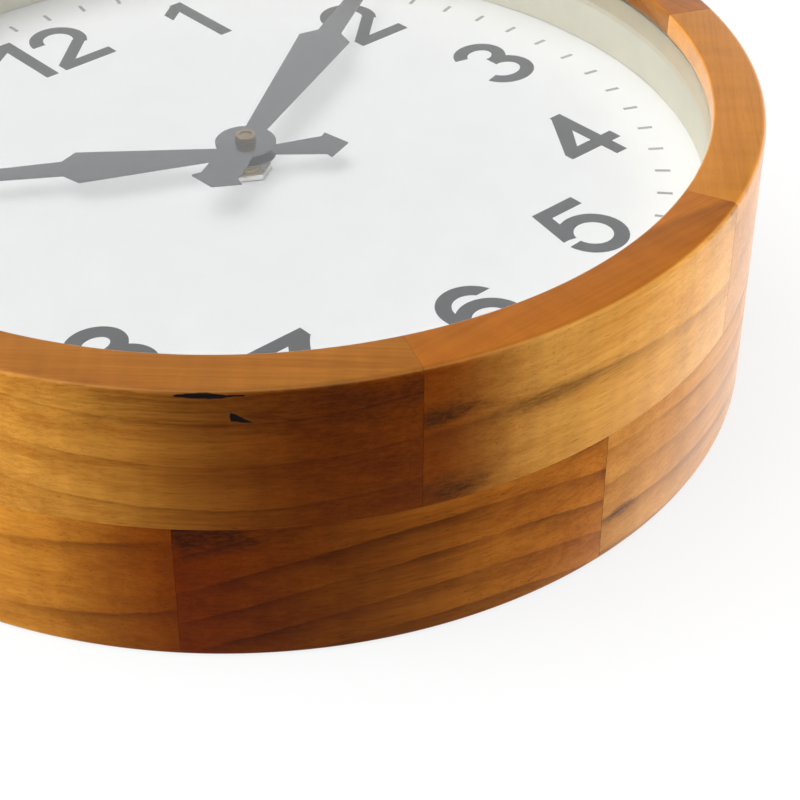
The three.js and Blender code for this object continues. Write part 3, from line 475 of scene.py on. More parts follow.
def new_material(name):
    """Material with a Principled shader: its tree and that shader's node."""
    material = bpy.data.materials.new(name)
    material.use_nodes = True
    tree = Tree(material.node_tree)
    return material, tree, material.node_tree.nodes["Principled BSDF"]


def fill(tree, node, **sockets):
    """Sets or links sockets of a shader, with underscores in place of spaces."""
    for name, value in sockets.items():
        tree.put(node.inputs[name.replace("_", " ")], value)


FLOAT, VECTOR, COLOR = "NodeSocketFloat", "NodeSocketVector", "NodeSocketColor"


def timber_group():
    """Grain of a plank: growth rings as slanted sheets, streaks, fibres and pores.

    Plank coordinates are along the fibres, depth and height, in millimetres. A ring's level is height plus
    tilt times depth plus slope times length, with a slow and a ragged wander, and a noise of that level makes
    wide and narrow years. Within a ring the wood darkens upwards, at last as a power of the height, and ends
    at a crisp edge.
    """
    tree, given = new_group("timber", {
        "Plank": VECTOR, "Spacing": FLOAT, "Tilt": FLOAT, "Slope": FLOAT, "Shift": FLOAT, "Thinness": FLOAT,
        "Wander": FLOAT, "Seed": FLOAT,
    }, {"Ring": FLOAT, "Tone": FLOAT, "Fibre": FLOAT, "Pores": FLOAT, "Shimmer": FLOAT})
    seed = given["Seed"]
    along, depth, height = tree.parts(given["Plank"])
    apart = tree.add("ShaderNodeCombineXYZ", {0: seed, 1: seed, 2: seed}).outputs[0]
    own = tree.vector("ADD", given["Plank"], apart)[0]
    drift = tree.about_zero(tree.stretched(own, (0.012, 0.02, 0.02)))
    ragged = tree.about_zero(tree.stretched(own, (0.12, 0.5, 0.5), 4.0, 0.6))
    level = tree.math("MULTIPLY_ADD", given["Tilt"], depth, height)
    level = tree.math("MULTIPLY_ADD", given["Slope"], along, level)
    level = tree.math("MULTIPLY_ADD", given["Wander"], drift, level)
    level = tree.math("MULTIPLY_ADD", ragged, 1.1, level)
    years = tree.add("ShaderNodeCombineXYZ", {0: tree.math("MULTIPLY", level, 0.05), 1: seed}).outputs[0]
    level = tree.math("MULTIPLY_ADD", tree.about_zero(tree.noise(years, 1.0)), 8.0, level)
    ring = tree.math("DIVIDE", tree.math("SUBTRACT", level, given["Shift"]), given["Spacing"])
    phase = tree.math("FRACT", ring)
    late = tree.math("POWER", phase, given["Thinness"])
    late = tree.math("MULTIPLY", late, tree.span(phase, 0.96, 1.0, 1.0, 0.0))
    count = tree.math("ADD", tree.math("FLOOR", ring), seed)
    year = tree.add("ShaderNodeTexWhiteNoise", {"W": count}, noise_dimensions="1D").outputs[0]
    late = tree.math("MULTIPLY", late, tree.span(year, 0.0, 1.0, 0.6, 1.0))
    fade = tree.span(tree.stretched(own, (0.03, 0.07, 0.07)), 0.32, 0.62, 0.2, 1.0)
    fibre = tree.span(tree.stretched(own, (0.035, 1.3, 1.3), 5.0, 0.72), 0.36, 0.64)
    streak = tree.span(tree.stretched(own, (0.014, 0.22, 0.22)), 0.34, 0.66)
    tone = tree.math("MULTIPLY", tree.math("POWER", phase, 1.6), 0.22)
    tone = tree.math("MULTIPLY_ADD", streak, 0.4, tone)
    tone = tree.math("MULTIPLY_ADD", fibre, 0.38, tone)
    pores = tree.span(tree.stretched(own, (0.25, 4.6, 4.6), 1.0), 0.6, 0.74)
    return close_group(tree, {
        "Ring": tree.math("MULTIPLY", late, fade), "Tone": tone, "Fibre": fibre, "Pores": pores,
        # Shimmer: bands across the fibres, used as a painted sheen
        "Shimmer": tree.stretched(own, (0.2, 0.03, 0.03), 3.0),
    })


def speckle_group():
    """Fine unevenness of paint, paper and moulded plastic: a tone and a height at one grain size."""
    tree, given = new_group("speckle", {"Place": VECTOR, "Grain": FLOAT}, {"Tone": FLOAT, "Height": FLOAT})
    broad = tree.noise(given["Place"], 0.08, 2.0)
    place = tree.add("ShaderNodeVectorMath", {0: given["Place"], "Scale": given["Grain"]}, operation="SCALE")
    fine = tree.noise(place.outputs[0], 1.0, 3.0, 0.6)
    tone = tree.math("MULTIPLY_ADD", fine, 0.5, tree.math("MULTIPLY", broad, 0.5))
    return close_group(tree, {"Tone": tone, "Height": fine})


def turning_group():
    """Marks of turned or rolled metal: fine lines across one direction, with slow stains."""
    tree, given = new_group("turning", {"Place": VECTOR, "Stretch": VECTOR}, {"Lines": FLOAT, "Stain": FLOAT})
    lines = tree.stretched(given["Place"], given["Stretch"], 3.0, 0.6)
    stain = tree.noise(given["Place"], 0.35, 3.0)
    return close_group(tree, {"Lines": lines, "Stain": stain})


# Woods
@dataclass(frozen=True)
class Plank:
    """One block's timber: colours, its rings as level = height + tilt depth + slope length, stains and flaws.

    Painted shade: the rim colour multiplies the front face; the sides darken over a span along the block.
    """
    light: tuple
    dark: tuple
    late: tuple
    spacing: float
    tilt: float
    slope: float = 0.0
    shift: float = 0.0
    thinness: float = 5.0
    strength: float = 0.7
    wander: float = 3.0
    pores: float = 0.45
    rim: tuple = (1.0, 0.94, 0.84)
    toast: tuple = (900.0, 999.0)
    stains: tuple = ()
    knots: tuple = ()


@dataclass(frozen=True)
class Stain:
    """Soft dark patch on a plank: its middle and half size along the fibres and up, and its strength."""
    along: float
    height: float
    half_length: float
    half_height: float
    strength: float


# Early, middle and late wood of each kind of timber
RED = {"light": (0.49, 0.234, 0.038), "dark": (0.282, 0.104, 0.011), "late": (0.060, 0.013, 0.001)}
GOLD = {"light": (0.565, 0.290, 0.062), "dark": (0.40, 0.166, 0.025), "late": (0.095, 0.028, 0.003)}
PALE = {"light": (0.456, 0.206, 0.044), "dark": (0.312, 0.117, 0.018), "late": (0.095, 0.030, 0.005)}
BROWN = {"light": (0.385, 0.132, 0.014), "dark": (0.213, 0.057, 0.005), "late": (0.036, 0.008, 0.001)}
ORANGE = {"light": (0.40, 0.152, 0.018), "dark": (0.25, 0.078, 0.007), "late": (0.075, 0.018, 0.002)}
SOFT = {"light": (0.43, 0.183, 0.023), "dark": (0.27, 0.096, 0.009), "late": (0.066, 0.015, 0.002)}

# Factors of painted shade: of the colour where a block's sides darken, and of the colours and the rim of
# blocks
# drawn by chance: darker copies of the timber for the blocks that face the side lamps, which light them more
PAINTED_SHADE_TINT = (0.48, 0.23, 0.04)
DRAWN_PAINTED_SHADE = 0.58
DRAWN_RIM_PAINTED_SHADE = (1.25, 1.08, 0.85)

PLANKS = {
    "front_1": Plank(**GOLD, spacing=22, tilt=0.35, slope=0.04, shift=54.5, thinness=7, strength=0.5,
                     wander=5, pores=0.4, rim=(0.583, 0.379, 0.167), toast=(-16, -46),
                     stains=(Stain(-43, 57.5, 13, 3.5, 0.95), Stain(-41, 37.5, 11, 4.5, 0.9),
                             Stain(-16, 54, 26, 3, 0.55), Stain(46, 70, 13, 7, 0.5),
                             # painted shade: this last stain is a broad weak darkening of the end beside
                             # front_8
                             Stain(-46, 52, 30, 30, 0.2))),
    "front_8": Plank(**RED, spacing=10.8, tilt=-0.4, slope=0.02, shift=51.2, thinness=24, strength=0.85,
                     wander=2, pores=0.35, rim=(0.64, 0.51, 0.39), toast=(-34, 32),
                     # painted shade: the second stain is a broad weak darkening of the end beside front_1
                     stains=(Stain(22, 66, 52, 9, 0.5), Stain(46, 55, 30, 40, 0.25)),
                     knots=("slit", "wedge")),
    "back_1": Plank(**BROWN, spacing=9, tilt=0.82, slope=-0.085, shift=30.4, thinness=3.2, strength=0.7,
                    wander=3, toast=(25, -50), stains=(Stain(-45, 34, 24, 7, 0.9),)),
    "back_2": Plank(**PALE, spacing=9.5, tilt=0.2, slope=0.09, shift=28.4, thinness=4, strength=0.8,
                    wander=4, stains=(Stain(-43, 11, 8, 2, 0.8),)),
    "back_8": Plank(**SOFT, spacing=20, tilt=-0.3, slope=-0.07, shift=27.5, thinness=9, strength=0.7,
                    wander=5, toast=(10, 52)),
    "front_2": Plank(**PALE, spacing=14, tilt=0.3, shift=40, strength=0.45, rim=(0.833, 0.733, 0.417)),
}


def plank_of(layer, index):
    """The plank of a block: one of those above, or one drawn for a block without a marked grain."""
    name = f"{layer}_{index + 1}"
    if name in PLANKS:
        return PLANKS[name]
    draw = np.random.default_rng(100 + index + (50 if layer == "back" else 0))
    family = (RED, GOLD, ORANGE, SOFT, BROWN)[draw.integers(5)]
    # Painted shade: a drawn block takes darker copies of its timber's colours
    family = {part: tuple(DRAWN_PAINTED_SHADE * value for value in colour) for part, colour in family.items()}
    return Plank(**family, rim=DRAWN_RIM_PAINTED_SHADE, spacing=draw.uniform(8, 16), tilt=draw.uniform(-0.8, 0.8),
                 slope=draw.uniform(-0.08, 0.08), shift=draw.uniform(0, 20), thinness=draw.uniform(3, 12),
                 strength=draw.uniform(0.45, 0.75))


def patch(tree, place, stain, rough):
    """Mask of a stain: one at its middle, fading to nothing at an uneven elliptical edge."""
    middle = tree.vector("SUBTRACT", place, (stain.along, 0, stain.height))[0]
    shares = tree.scaled(middle, (1 / stain.half_length, 0, 1 / stain.half_height))
    far = tree.vector("LENGTH", shares)["Value"]
    far = tree.math("MULTIPLY_ADD", rough, 1.5, far)
    return tree.span(far, 0.1, 1.15, stain.strength, 0.0)


# Black flaws of the front edge, in plank millimetres: the slit's half length and height, the wedge's corner
SLIT_HALF = 6.8
SLIT_HEIGHT = 68.8
WEDGE_LEFT = 10.8
WEDGE_FLOOR = 62.6
WEDGE_ROOF = 64.9
FLAW = (0.002, 0.001, 0.0006, 1)

# Shares: the colour of the painted highlight along the front arris, the dark line of a glue joint, and a
# stain's loss on the front
ARRIS_HIGHLIGHT = (0.75, 0.42, 0.17, 1)
ARRIS_HIGHLIGHT_SHARE = 0.12
GLUE_SHARE = 0.4
FRONT_LOSS = 0.75


def knot(tree, place, kind, rough):
    """Mask of a black flaw: a slit along the front edge, or a wedge with one upright side below it."""
    along, _, height = tree.parts(place)
    if kind == "slit":
        middle = tree.math("ABSOLUTE", tree.math("SUBTRACT", along, SLIT_HALF))
        inner = tree.math("SUBTRACT", SLIT_HALF, middle)
        taper = tree.math("MULTIPLY_ADD", along, -0.018, 0.36)
        thick = tree.math("MULTIPLY", tree.math("SQRT", tree.math("MAXIMUM", inner, 0.0)), taper)
        away = tree.math("ABSOLUTE", tree.math("SUBTRACT", height, SLIT_HEIGHT))
        reach = tree.math("MINIMUM", inner, tree.math("SUBTRACT", thick, away))
    else:
        left = tree.math("SUBTRACT", along, WEDGE_LEFT)
        floor = tree.math("SUBTRACT", height, tree.math("MULTIPLY_ADD", left, -0.12, WEDGE_FLOOR))
        roof = tree.math("SUBTRACT", tree.math("MULTIPLY_ADD", left, -0.62, WEDGE_ROOF), height)
        reach = tree.math("MINIMUM", left, tree.math("MINIMUM", floor, roof))
    reach = tree.math("MULTIPLY_ADD", rough, 1.1, reach)
    return tree.span(reach, -0.12, 0.12)


def wood_material(name, plank, seed, group):
    """Varnished wood of one block, from its plank coordinates."""
    material, tree, shader = new_material(name)
    place = tree.attribute("plank", "Vector")
    grain = tree.group(group, {
        "Plank": place, "Spacing": plank.spacing, "Tilt": plank.tilt, "Slope": plank.slope,
        "Shift": plank.shift, "Thinness": plank.thinness, "Wander": plank.wander, "Seed": seed,
    })
    late = (*plank.late, 1)
    smoke = (*(0.5 * part for part in plank.late), 1)
    up = tree.parts(tree.add("ShaderNodeNewGeometry").outputs["Normal"])[2]
    front = tree.span(up, 0.5, 0.95)
    calm = tree.math("MULTIPLY", tree.math("SUBTRACT", 0.5, grain["Tone"]), tree.math("MULTIPLY", front, 0.5))
    colour = tree.mix(tree.math("ADD", grain["Tone"], calm), (*plank.light, 1), (*plank.dark, 1))
    # Painted sheen: lighter and darker bands across the fibres
    colour = tree.mix(1.0, colour, tree.span(grain["Shimmer"], 0.3, 0.7, 0.94, 1.06), "MULTIPLY")
    colour = tree.mix(tree.math("MULTIPLY", grain["Ring"], plank.strength), colour, late)
    sanded = tree.span(up, 0.3, 0.9, plank.pores, 0.35 * plank.pores)
    colour = tree.mix(tree.math("MULTIPLY", grain["Pores"], sanded), colour, late)
    along = tree.parts(place)[0]
    # Painted shade: the sides darken from the first to the second place along the block
    toast = tree.math("MULTIPLY", tree.span(along, *plank.toast), tree.math("SUBTRACT", 1.0, front))
    colour = tree.mix(toast, colour, (*PAINTED_SHADE_TINT, 1), "MULTIPLY")
    # Painted shade: the front face is multiplied by the rim colour
    colour = tree.mix(front, colour, (*plank.rim, 1), "MULTIPLY")
    rough = tree.about_zero(tree.stretched(place, (0.25, 1.2, 1.2), 4.0))
    cloud = tree.about_zero(tree.stretched(place, (0.045, 0.3, 0.3), 3.0, 0.55))
    threads = tree.span(grain["Fibre"], 0.0, 1.0, 0.62, 1.0)
    side = tree.math("MULTIPLY_ADD", front, -FRONT_LOSS, 1.0)
    for stain in plank.stains:
        mask = tree.math("MULTIPLY", patch(tree, place, stain, cloud), threads)
        colour = tree.mix(tree.math("MULTIPLY", mask, side), colour, smoke)
    for kind in plank.knots:
        colour = tree.mix(knot(tree, place, kind, rough), colour, FLAW)
    # Painted highlight: a lighter line along the middle of the rounded front edge
    colour = tree.mix(tree.math("MULTIPLY", tree.attribute("arris", "Fac"), ARRIS_HIGHLIGHT_SHARE), colour, ARRIS_HIGHLIGHT)
    colour = tree.mix(tree.math("MULTIPLY", tree.attribute("joint", "Fac"), GLUE_SHARE), colour, smoke)
    height = tree.math("SUBTRACT", tree.math("MULTIPLY", grain["Fibre"], 0.5), grain["Pores"])
    slant = tree.add("ShaderNodeLayerWeight", {"Blend": 0.5}).outputs["Facing"]
    fill(tree, shader, Base_Color=colour, Roughness=tree.span(grain["Fibre"], 0.0, 1.0, 0.34, 0.46),
         Specular_IOR_Level=0.07, Coat_Weight=tree.span(slant, 0.42, 0.75), Coat_Roughness=0.3, Coat_IOR=1.6,
         Normal=tree.bump(height, 0.02 * MM, 0.5))
    return material


def plank_place(points, middle):
    """Plank coordinates of points on a block: along the tangent at its middle, depth and height."""
    cos, sin = math.cos(middle), math.sin(middle)
    along = points[:, 1] * cos - points[:, 0] * sin
    outwards = points[:, 0] * cos + points[:, 1] * sin
    return np.column_stack([along, CASE_RADIUS - outwards, points[:, 2]]) / MM


def arris_place(points, width):
    """How near points are to the middle of the rounded front edge, by the way in which the edge faces."""
    across = np.hypot(points[:, 0], points[:, 1]) - (CASE_RADIUS - width)
    up = points[:, 2] - (CASE_DEPTH - width)
    facing = np.degrees(np.arctan2(up, across))
    return np.exp(-((facing - 45) / 9) ** 2) * (np.minimum(across, up) > 0)


def block_shape(outline, start, end, settings):
    """Outline carried from start to end and drawn in slightly there: the shape, and where it is drawn in."""
    ease = settings.seam_round / CASE_RADIUS
    half_gap = settings.joint_gap / 2 / CASE_RADIUS
    start, end = start + half_gap, end - half_gap
    inner = np.linspace(start + ease, end - ease, settings.steps + 1)
    angles = np.concatenate([[start], inner, [end]])
    profiles = np.repeat(outline[None], len(angles), axis=0)
    profiles[[0, -1]] = inset(outline, settings.seam_round)
    points = carried(profiles, angles)
    rows, columns = points.shape[:2]
    faces = quads(rows, columns, loop=True)
    count = rows * columns
    faces += [list(range(0, count, columns)), list(range(columns - 1, count, columns))[::-1]]
    joint = np.zeros((rows, columns))
    joint[:, [0, -1]] = 1
    return (points.reshape(-1, 3), faces), joint.ravel()


class CLOCK_OT_case(bpy.types.Operator):
    """Two layers of curved wooden blocks, each with its own timber"""
    bl_idname = "wall_clock.case"
    bl_label = "Case Blocks"

    def execute(self, context):
        settings = context.scene.wall_clock.case
        group = timber_group()
        half = settings.joint_gap / 2
        front = rounded([
            (BORE_RADIUS, SEAM + half), (CASE_RADIUS, SEAM + half), (CASE_RADIUS, CASE_DEPTH),
            (LIP_RADIUS, CASE_DEPTH), (LIP_RADIUS, LIP_UNDERSIDE), (BORE_RADIUS, LIP_UNDERSIDE),
        ], [settings.seam_round, settings.seam_round, settings.front_round, settings.lip_round,
            settings.lip_round, settings.seam_round], 8)
        back = rounded([
            (BORE_RADIUS, 0), (CASE_RADIUS, 0), (CASE_RADIUS, SEAM - half), (BORE_RADIUS, SEAM - half),
        ], [settings.back_round, settings.back_round, settings.seam_round, settings.seam_round])
        for layer, outline in {"front": front, "back": back}.items():
            for index in range(BLOCK_COUNT):
                start, end = block_span(layer, index)
                shape, joint = block_shape(outline, start, end, settings)
                node = f"{layer}_block_{index + 1}"
                seed = 37.0 * (index + 1) + (400 if layer == "back" else 0)
                wood = wood_material(f"{layer}_wood_{index + 1}", plank_of(layer, index), seed, group)
                piece(f"{layer}_wood_{index + 1}", shape, wood, CASE, "wood", [node], joint=joint,
                      plank=plank_place(shape[0], (start + end) / 2),
                      arris=arris_place(shape[0], settings.front_round))
        return {"FINISHED"}


# Dial face
NUMERAL_TOP = 11.9
STROKE = 3.8
NUMERAL_NUDGES = {4: (-1.0, -1.1), 5: (0.4, -0.6), 6: (0, 1.1), 7: (0.3, 0.9), 8: (2.3, 1.2)}


def ribbon(outer, inner):
    """Outline between two paths that run the same way."""
    return np.vstack([outer, inner[::-1]])


def hoop(centre, radius, start, end, stroke=STROKE):
    """Band along an arc or part of an ellipse, radius measured outside."""
    radius = np.broadcast_to(radius, 2).astype(float)
    return ribbon(arc(centre, radius, start, end), arc(centre, radius - stroke, start, end))


def bar(left, bottom, right, top):
    """Upright rectangle."""
    return np.array([(left, bottom), (right, bottom), (right, top), (left, top)], float)


def numeral_strokes(digit):
    """Strokes of a digit in millimetres, about its middle, in plain geometric shapes."""
    top, low = NUMERAL_TOP, -NUMERAL_TOP
    bowl, rise = (0.0, -3.2), 8.6
    if digit == "0":
        side = 3.2
        return [hoop((0, side), rise, 0, 180), hoop((0, -side), rise, 180, 360),
                bar(-rise, -side - 0.01, STROKE - rise, side + 0.01),
                bar(rise - STROKE, -side - 0.01, rise, side + 0.01)]
    if digit == "1":
        flag = np.array([(1.9, top), (-1.2, top), (-6.4, 8.2), (-6.4, 4.0), (-1.9, 7.1), (1.9, 7.1)])
        return [bar(-1.9, low, 1.9, top), flag]
    if digit == "2":
        slant = np.array([(-8.3, -8.3), (-3.0, -8.3), (6.2, -0.2), (3.2, 1.8)])
        return [hoop((0, 4), 7.9, -42, 178), slant, bar(-8.3, low, 8.2, -8.1)]
    if digit == "3":
        return [hoop((0, 5.3), (7.5, 6.6), -90, 165), hoop((0, -4.6), (8.3, 7.3), -165, 90)]
    if digit == "4":
        slant = np.array([(-8.8, -4.0), (-8.0, -6.0), (-6.0, -6.0), (-3.3, -2.8), (3.0, 5.4), (3.0, top),
                          (2.2, top)])
        cross = np.array([(-8.8, -6.6), (8.7, -6.6), (8.7, -2.8), (-8.0, -2.8), (-8.8, -4.0)])
        return [bar(1.7, low, 5.4, top), cross, slant]
    if digit == "5":
        stem = np.array([(-5.8, top), (-8.5, -1.4), (-4.7, -1.4), (-2.0, top)])
        return [bar(-5.8, top - STROKE, 7.5, top), stem, hoop((-0.1, -3.1), rise, -176, 165.4)]
    if digit in "69":
        end = 2.9
        crest = ribbon(arc((0, 3.3), rise, math.degrees(math.asin(end / rise)), 180),
                       arc((0, 3.3), rise - STROKE, math.degrees(math.asin(end / (rise - STROKE))), 180))
        flank = bar(-rise, -3.3, STROKE - rise, 3.31)
        six = [hoop(bowl, rise, -90, 90), hoop(bowl, rise, 90, 270), crest, flank]
        return six if digit == "6" else [-stroke for stroke in six]
    if digit == "7":
        leg = hoop((28.5, low), 33.4, 135, 180, 4.8)
        return [bar(-8.3, top - STROKE, 8.3, top), leg]
    upper, lower = ((0, 5.3), (7.6, 6.6)), ((0, -4.6), (8.5, 7.3))
    return [hoop(*ring, start, start + 180, 4.1) for ring in (upper, lower) for start in (-90, 90)]


def anticlockwise(loop):
    """Loop in anticlockwise order."""
    after = np.roll(loop, -1, axis=0)
    area = np.sum(loop[:, 0] * after[:, 1] - after[:, 0] * loop[:, 1])
    return loop if area > 0 else loop[::-1]


DIGIT_HALVES = {"1": (6.4, 1.9)}
DIGIT_GAP = 2.2


def numeral_outlines(hour):
    """Outlines of one hour's numeral about its middle, in metres: its digits side by side."""
    widths = [DIGIT_HALVES.get(digit, (8.5, 8.5)) for digit in str(hour)]
    total = sum(map(sum, widths)) + DIGIT_GAP * (len(widths) - 1)
    outlines, left = [], -total / 2
    for digit, (before, after) in zip(str(hour), widths):
        middle = left + before if len(widths) > 1 else 0
        outlines += [anticlockwise(stroke + (middle, 0)) * MM for stroke in numeral_strokes(digit)]
        left += before + after + DIGIT_GAP
    return outlines


def dress(tree, shader, colour, tone, fine, spread, roughness, sway, relief, **sockets):
    """Fills a shader: the colour times 1 +- spread by a tone, roughness +- sway and a bump by a fine mask."""
    shade = tree.span(tone, 0.3, 0.7, 1 - spread, 1 + spread)
    fill(tree, shader, Base_Color=tree.mix(1.0, (*colour, 1), shade, "MULTIPLY"),
         Roughness=tree.span(fine, 0.3, 0.7, roughness - sway, roughness + sway),
         Normal=tree.bump(fine, *relief), **sockets)


def paint_material(name, colour, speckle, grain, spread, roughness):
    """Even paint, print or paper: a colour with a small spread of tone and a fine grain."""
    material, tree, shader = new_material(name)
    marks = tree.group(speckle, {"Place": tree.object_place(), "Grain": grain})
    dress(tree, shader, colour, marks["Tone"], marks["Height"], spread, roughness, 0.06, (0.01 * MM, 0.4),
          Specular_IOR_Level=0.3)
    return material


def glass_material():
    """Clear flat glass, with faint dust in its gloss: shadow and diffuse rays pass straight through."""
    material, tree, shader = new_material("clear_glass")
    dust = tree.noise(tree.object_place(), 0.5, 4.0, 0.6)
    fill(tree, shader, Base_Color=(0.985, 0.995, 0.995, 1), IOR=1.5, Transmission_Weight=1.0,
         Roughness=tree.span(dust, 0.4, 0.8, 0.0, 0.02))
    light = tree.add("ShaderNodeLightPath").outputs
    passing = tree.math("MAXIMUM", light["Is Shadow Ray"], light["Is Diffuse Ray"])
    mirrored = tree.add("ShaderNodeFresnel", {"IOR": 1.5}).outputs[0]
    through = tree.mix(mirrored, (1, 1, 1, 1), (0, 0, 0, 1))
    clear = tree.add("ShaderNodeBsdfTransparent", {"Color": through})
    tree.surface("Material Output", tree.blend(passing, shader, clear))
    return material


class CLOCK_OT_face(bpy.types.Operator):
    """Glass, spacer ring, dial, numerals and minute marks"""
    bl_idname = "wall_clock.face"
    bl_label = "Dial Face"

    def execute(self, context):
        settings = context.scene.wall_clock.face
        speckle = speckle_group()
        clothe("glass", glass_material())
        clothe("dial_plate", paint_material("dial_paint", settings.paint, speckle, 3.0, 0.02, 0.5))
        cream = paint_material("cream_card", settings.cream, speckle, 2.0, 0.05, 0.7)
        ring = revolved(tube_profile("spacer_ring", 0.25 * MM), 240)
        piece("spacer", ring, cream, CASE, "spacer", ["spacer_ring"])
        ink = paint_material("dial_ink", settings.ink, speckle, 5.0, 0.25, 0.55)
        bedded, top = DIAL_TOP - settings.print_height / 2, DIAL_TOP + settings.print_height
        for hour in range(1, 13):
            angle = TURN / 4 - hour * TURN / 12
            nudge = np.array(NUMERAL_NUDGES.get(hour, (0, 0))) * MM
            middle = settings.numeral_radius * np.array([math.cos(angle), math.sin(angle)]) + nudge
            shape = film([outline + middle for outline in numeral_outlines(hour)], bedded, top)
            piece(f"numeral_{hour}", shape, ink, CASE, "dial")
        mark = bar(settings.tick_radius - settings.tick_length / 2, -settings.tick_width / 2,
                   settings.tick_radius + settings.tick_length / 2, settings.tick_width / 2)
        marks = film([turned(mark, step * TURN / 60) for step in range(60)], bedded, top)
        grey = paint_material("mark_ink", settings.tick_ink, speckle, 5.0, 0.25, 0.55)
        piece("minute_marks", marks, grey, CASE, "dial")
        return {"FINISHED"}


# Hands and centre stack
HANDS = {
    "hour": {
        "neck": 2.7, "shoulder": (7.1, 41.4), "waist": (3.2, 45), "blade": (2.6, 60), "tip": 71,
        "tail_neck": 2.15, "tail_notch": (4.2, 19.5), "tail_barb": (5.9, 20.5), "tail_tip": 25.5,
    },
    "minute": {
        "neck": 2.7, "shoulder": (7.1, 58), "waist": (3.2, 62), "blade": (2.4, 84), "tip": 98,
        "tail_neck": 4.4, "tail_notch": (4.7, 17.2), "tail_barb": (6.4, 19), "tail_tip": 22.4,
    },
}


# Straight parts of the brass pieces and the edge of the nut
BUSH_RADIUS = 2.5 * MM
STEM_RADIUS = 3.4 * MM
STEM_FLANGE = 0.5 * MM
NUT_EDGE = 0.18 * MM


def hand_outline(hand, hub):
    """Outline of a hand that points along +Y: one side from tail to tip with the hub as an arc, mirrored."""
    tail = np.array([(0, hand["tail_tip"]), hand["tail_barb"], hand["tail_notch"]]) * (MM, -MM)
    blade = np.array([hand["shoulder"], hand["waist"], hand["blade"], (0, hand["tip"])]) * MM
    low = -90 + math.degrees(math.asin(hand["tail_neck"] * MM / hub))
    high = 90 - math.degrees(math.asin(hand["neck"] * MM / hub))
    side = np.vstack([tail, arc((0, 0), hub, low, high, 48), blade])
    return np.vstack([side, (side[1:-1] * (-1, 1))[::-1]])


def metal_material(name, colour, turning, stretch, roughness, spread=0.08):
    """Metal with fine lines across one direction and slow stains in colour and gloss."""
    material, tree, shader = new_material(name)
    marks = tree.group(turning, {"Place": tree.object_place(), "Stretch": stretch})
    dress(tree, shader, colour, marks["Stain"], marks["Lines"], spread, roughness, 0.08, (0.005 * MM, 0.4),
          Metallic=1.0)
    return material


def tube_profile(node, ease):
    """Closed profile of a plain ring node with eased edges."""
    inner, outer = radii(node)
    low, high = heights(node)
    return rounded([(inner, low), (outer, low), (outer, high), (inner, high)], ease)


class CLOCK_OT_hands(bpy.types.Operator):
    """Hour and minute hand with the brass pieces that hold them"""
    bl_idname = "wall_clock.hands"
    bl_label = "Hands"

    def execute(self, context):
        settings = context.scene.wall_clock.hands
        turning = turning_group()
        paint = metal_material("black_plate", settings.paint, turning, (3.0, 3.0, 3.0), 0.17, 0.06)
        # Painted reflection: the bush and arbor take a dark brass colour for the dark surroundings they
        # reflect
        brass = metal_material("dark_reflection_brass", (0.25, 0.17, 0.075), turning, (0.6, 0.6, 9.0), 0.24)
        rests = {"hour": settings.hour_rest, "minute": settings.minute_rest}
        for name, rest in rests.items():
            node = f"{name}_hand"
            low, high = heights(node)
            hole = arc((0, 0), radii(node)[0], 360, 0, 64)[:-1]
            outline = turned(hand_outline(HANDS[name], settings.hub_radius), -rest)
            shape = plate(outline, [hole], low, high, settings.bevel)
            sheet = piece(f"{name}_hand_sheet", shape, paint, f"{name}_work", "hands", [node])
            sheet.visible_diffuse = False  # a dial lit from all sides shows only a faint shadow
        polished = metal_material("bright_brass", (0.85, 0.70, 0.32), turning, (0.6, 0.6, 9.0), 0.42)
        collet = revolved(tube_profile("hour_hand_collet", 0.12 * MM), 64)
        piece("hour_collet", collet, polished, "hour_work", "brass", ["hour_hand_collet"])
        bore, flange = radii("minute_hand_bush")
        low, high = heights("minute_hand_bush")
        body, step = BUSH_RADIUS, heights("minute_hand")[0] - 0.1 * MM
        profile = rounded([
            (bore, low), (flange, low), (flange, step), (body, step), (body, high), (bore, high),
        ], np.array([0.1, 0.15, 0.1, 0, 0.25, 0.12]) * MM)
        piece("minute_bush", revolved(profile, 64), brass, "minute_work", "brass", ["minute_hand_bush"])
        clothe("minute_arbor", brass)
        return {"FINISHED"}


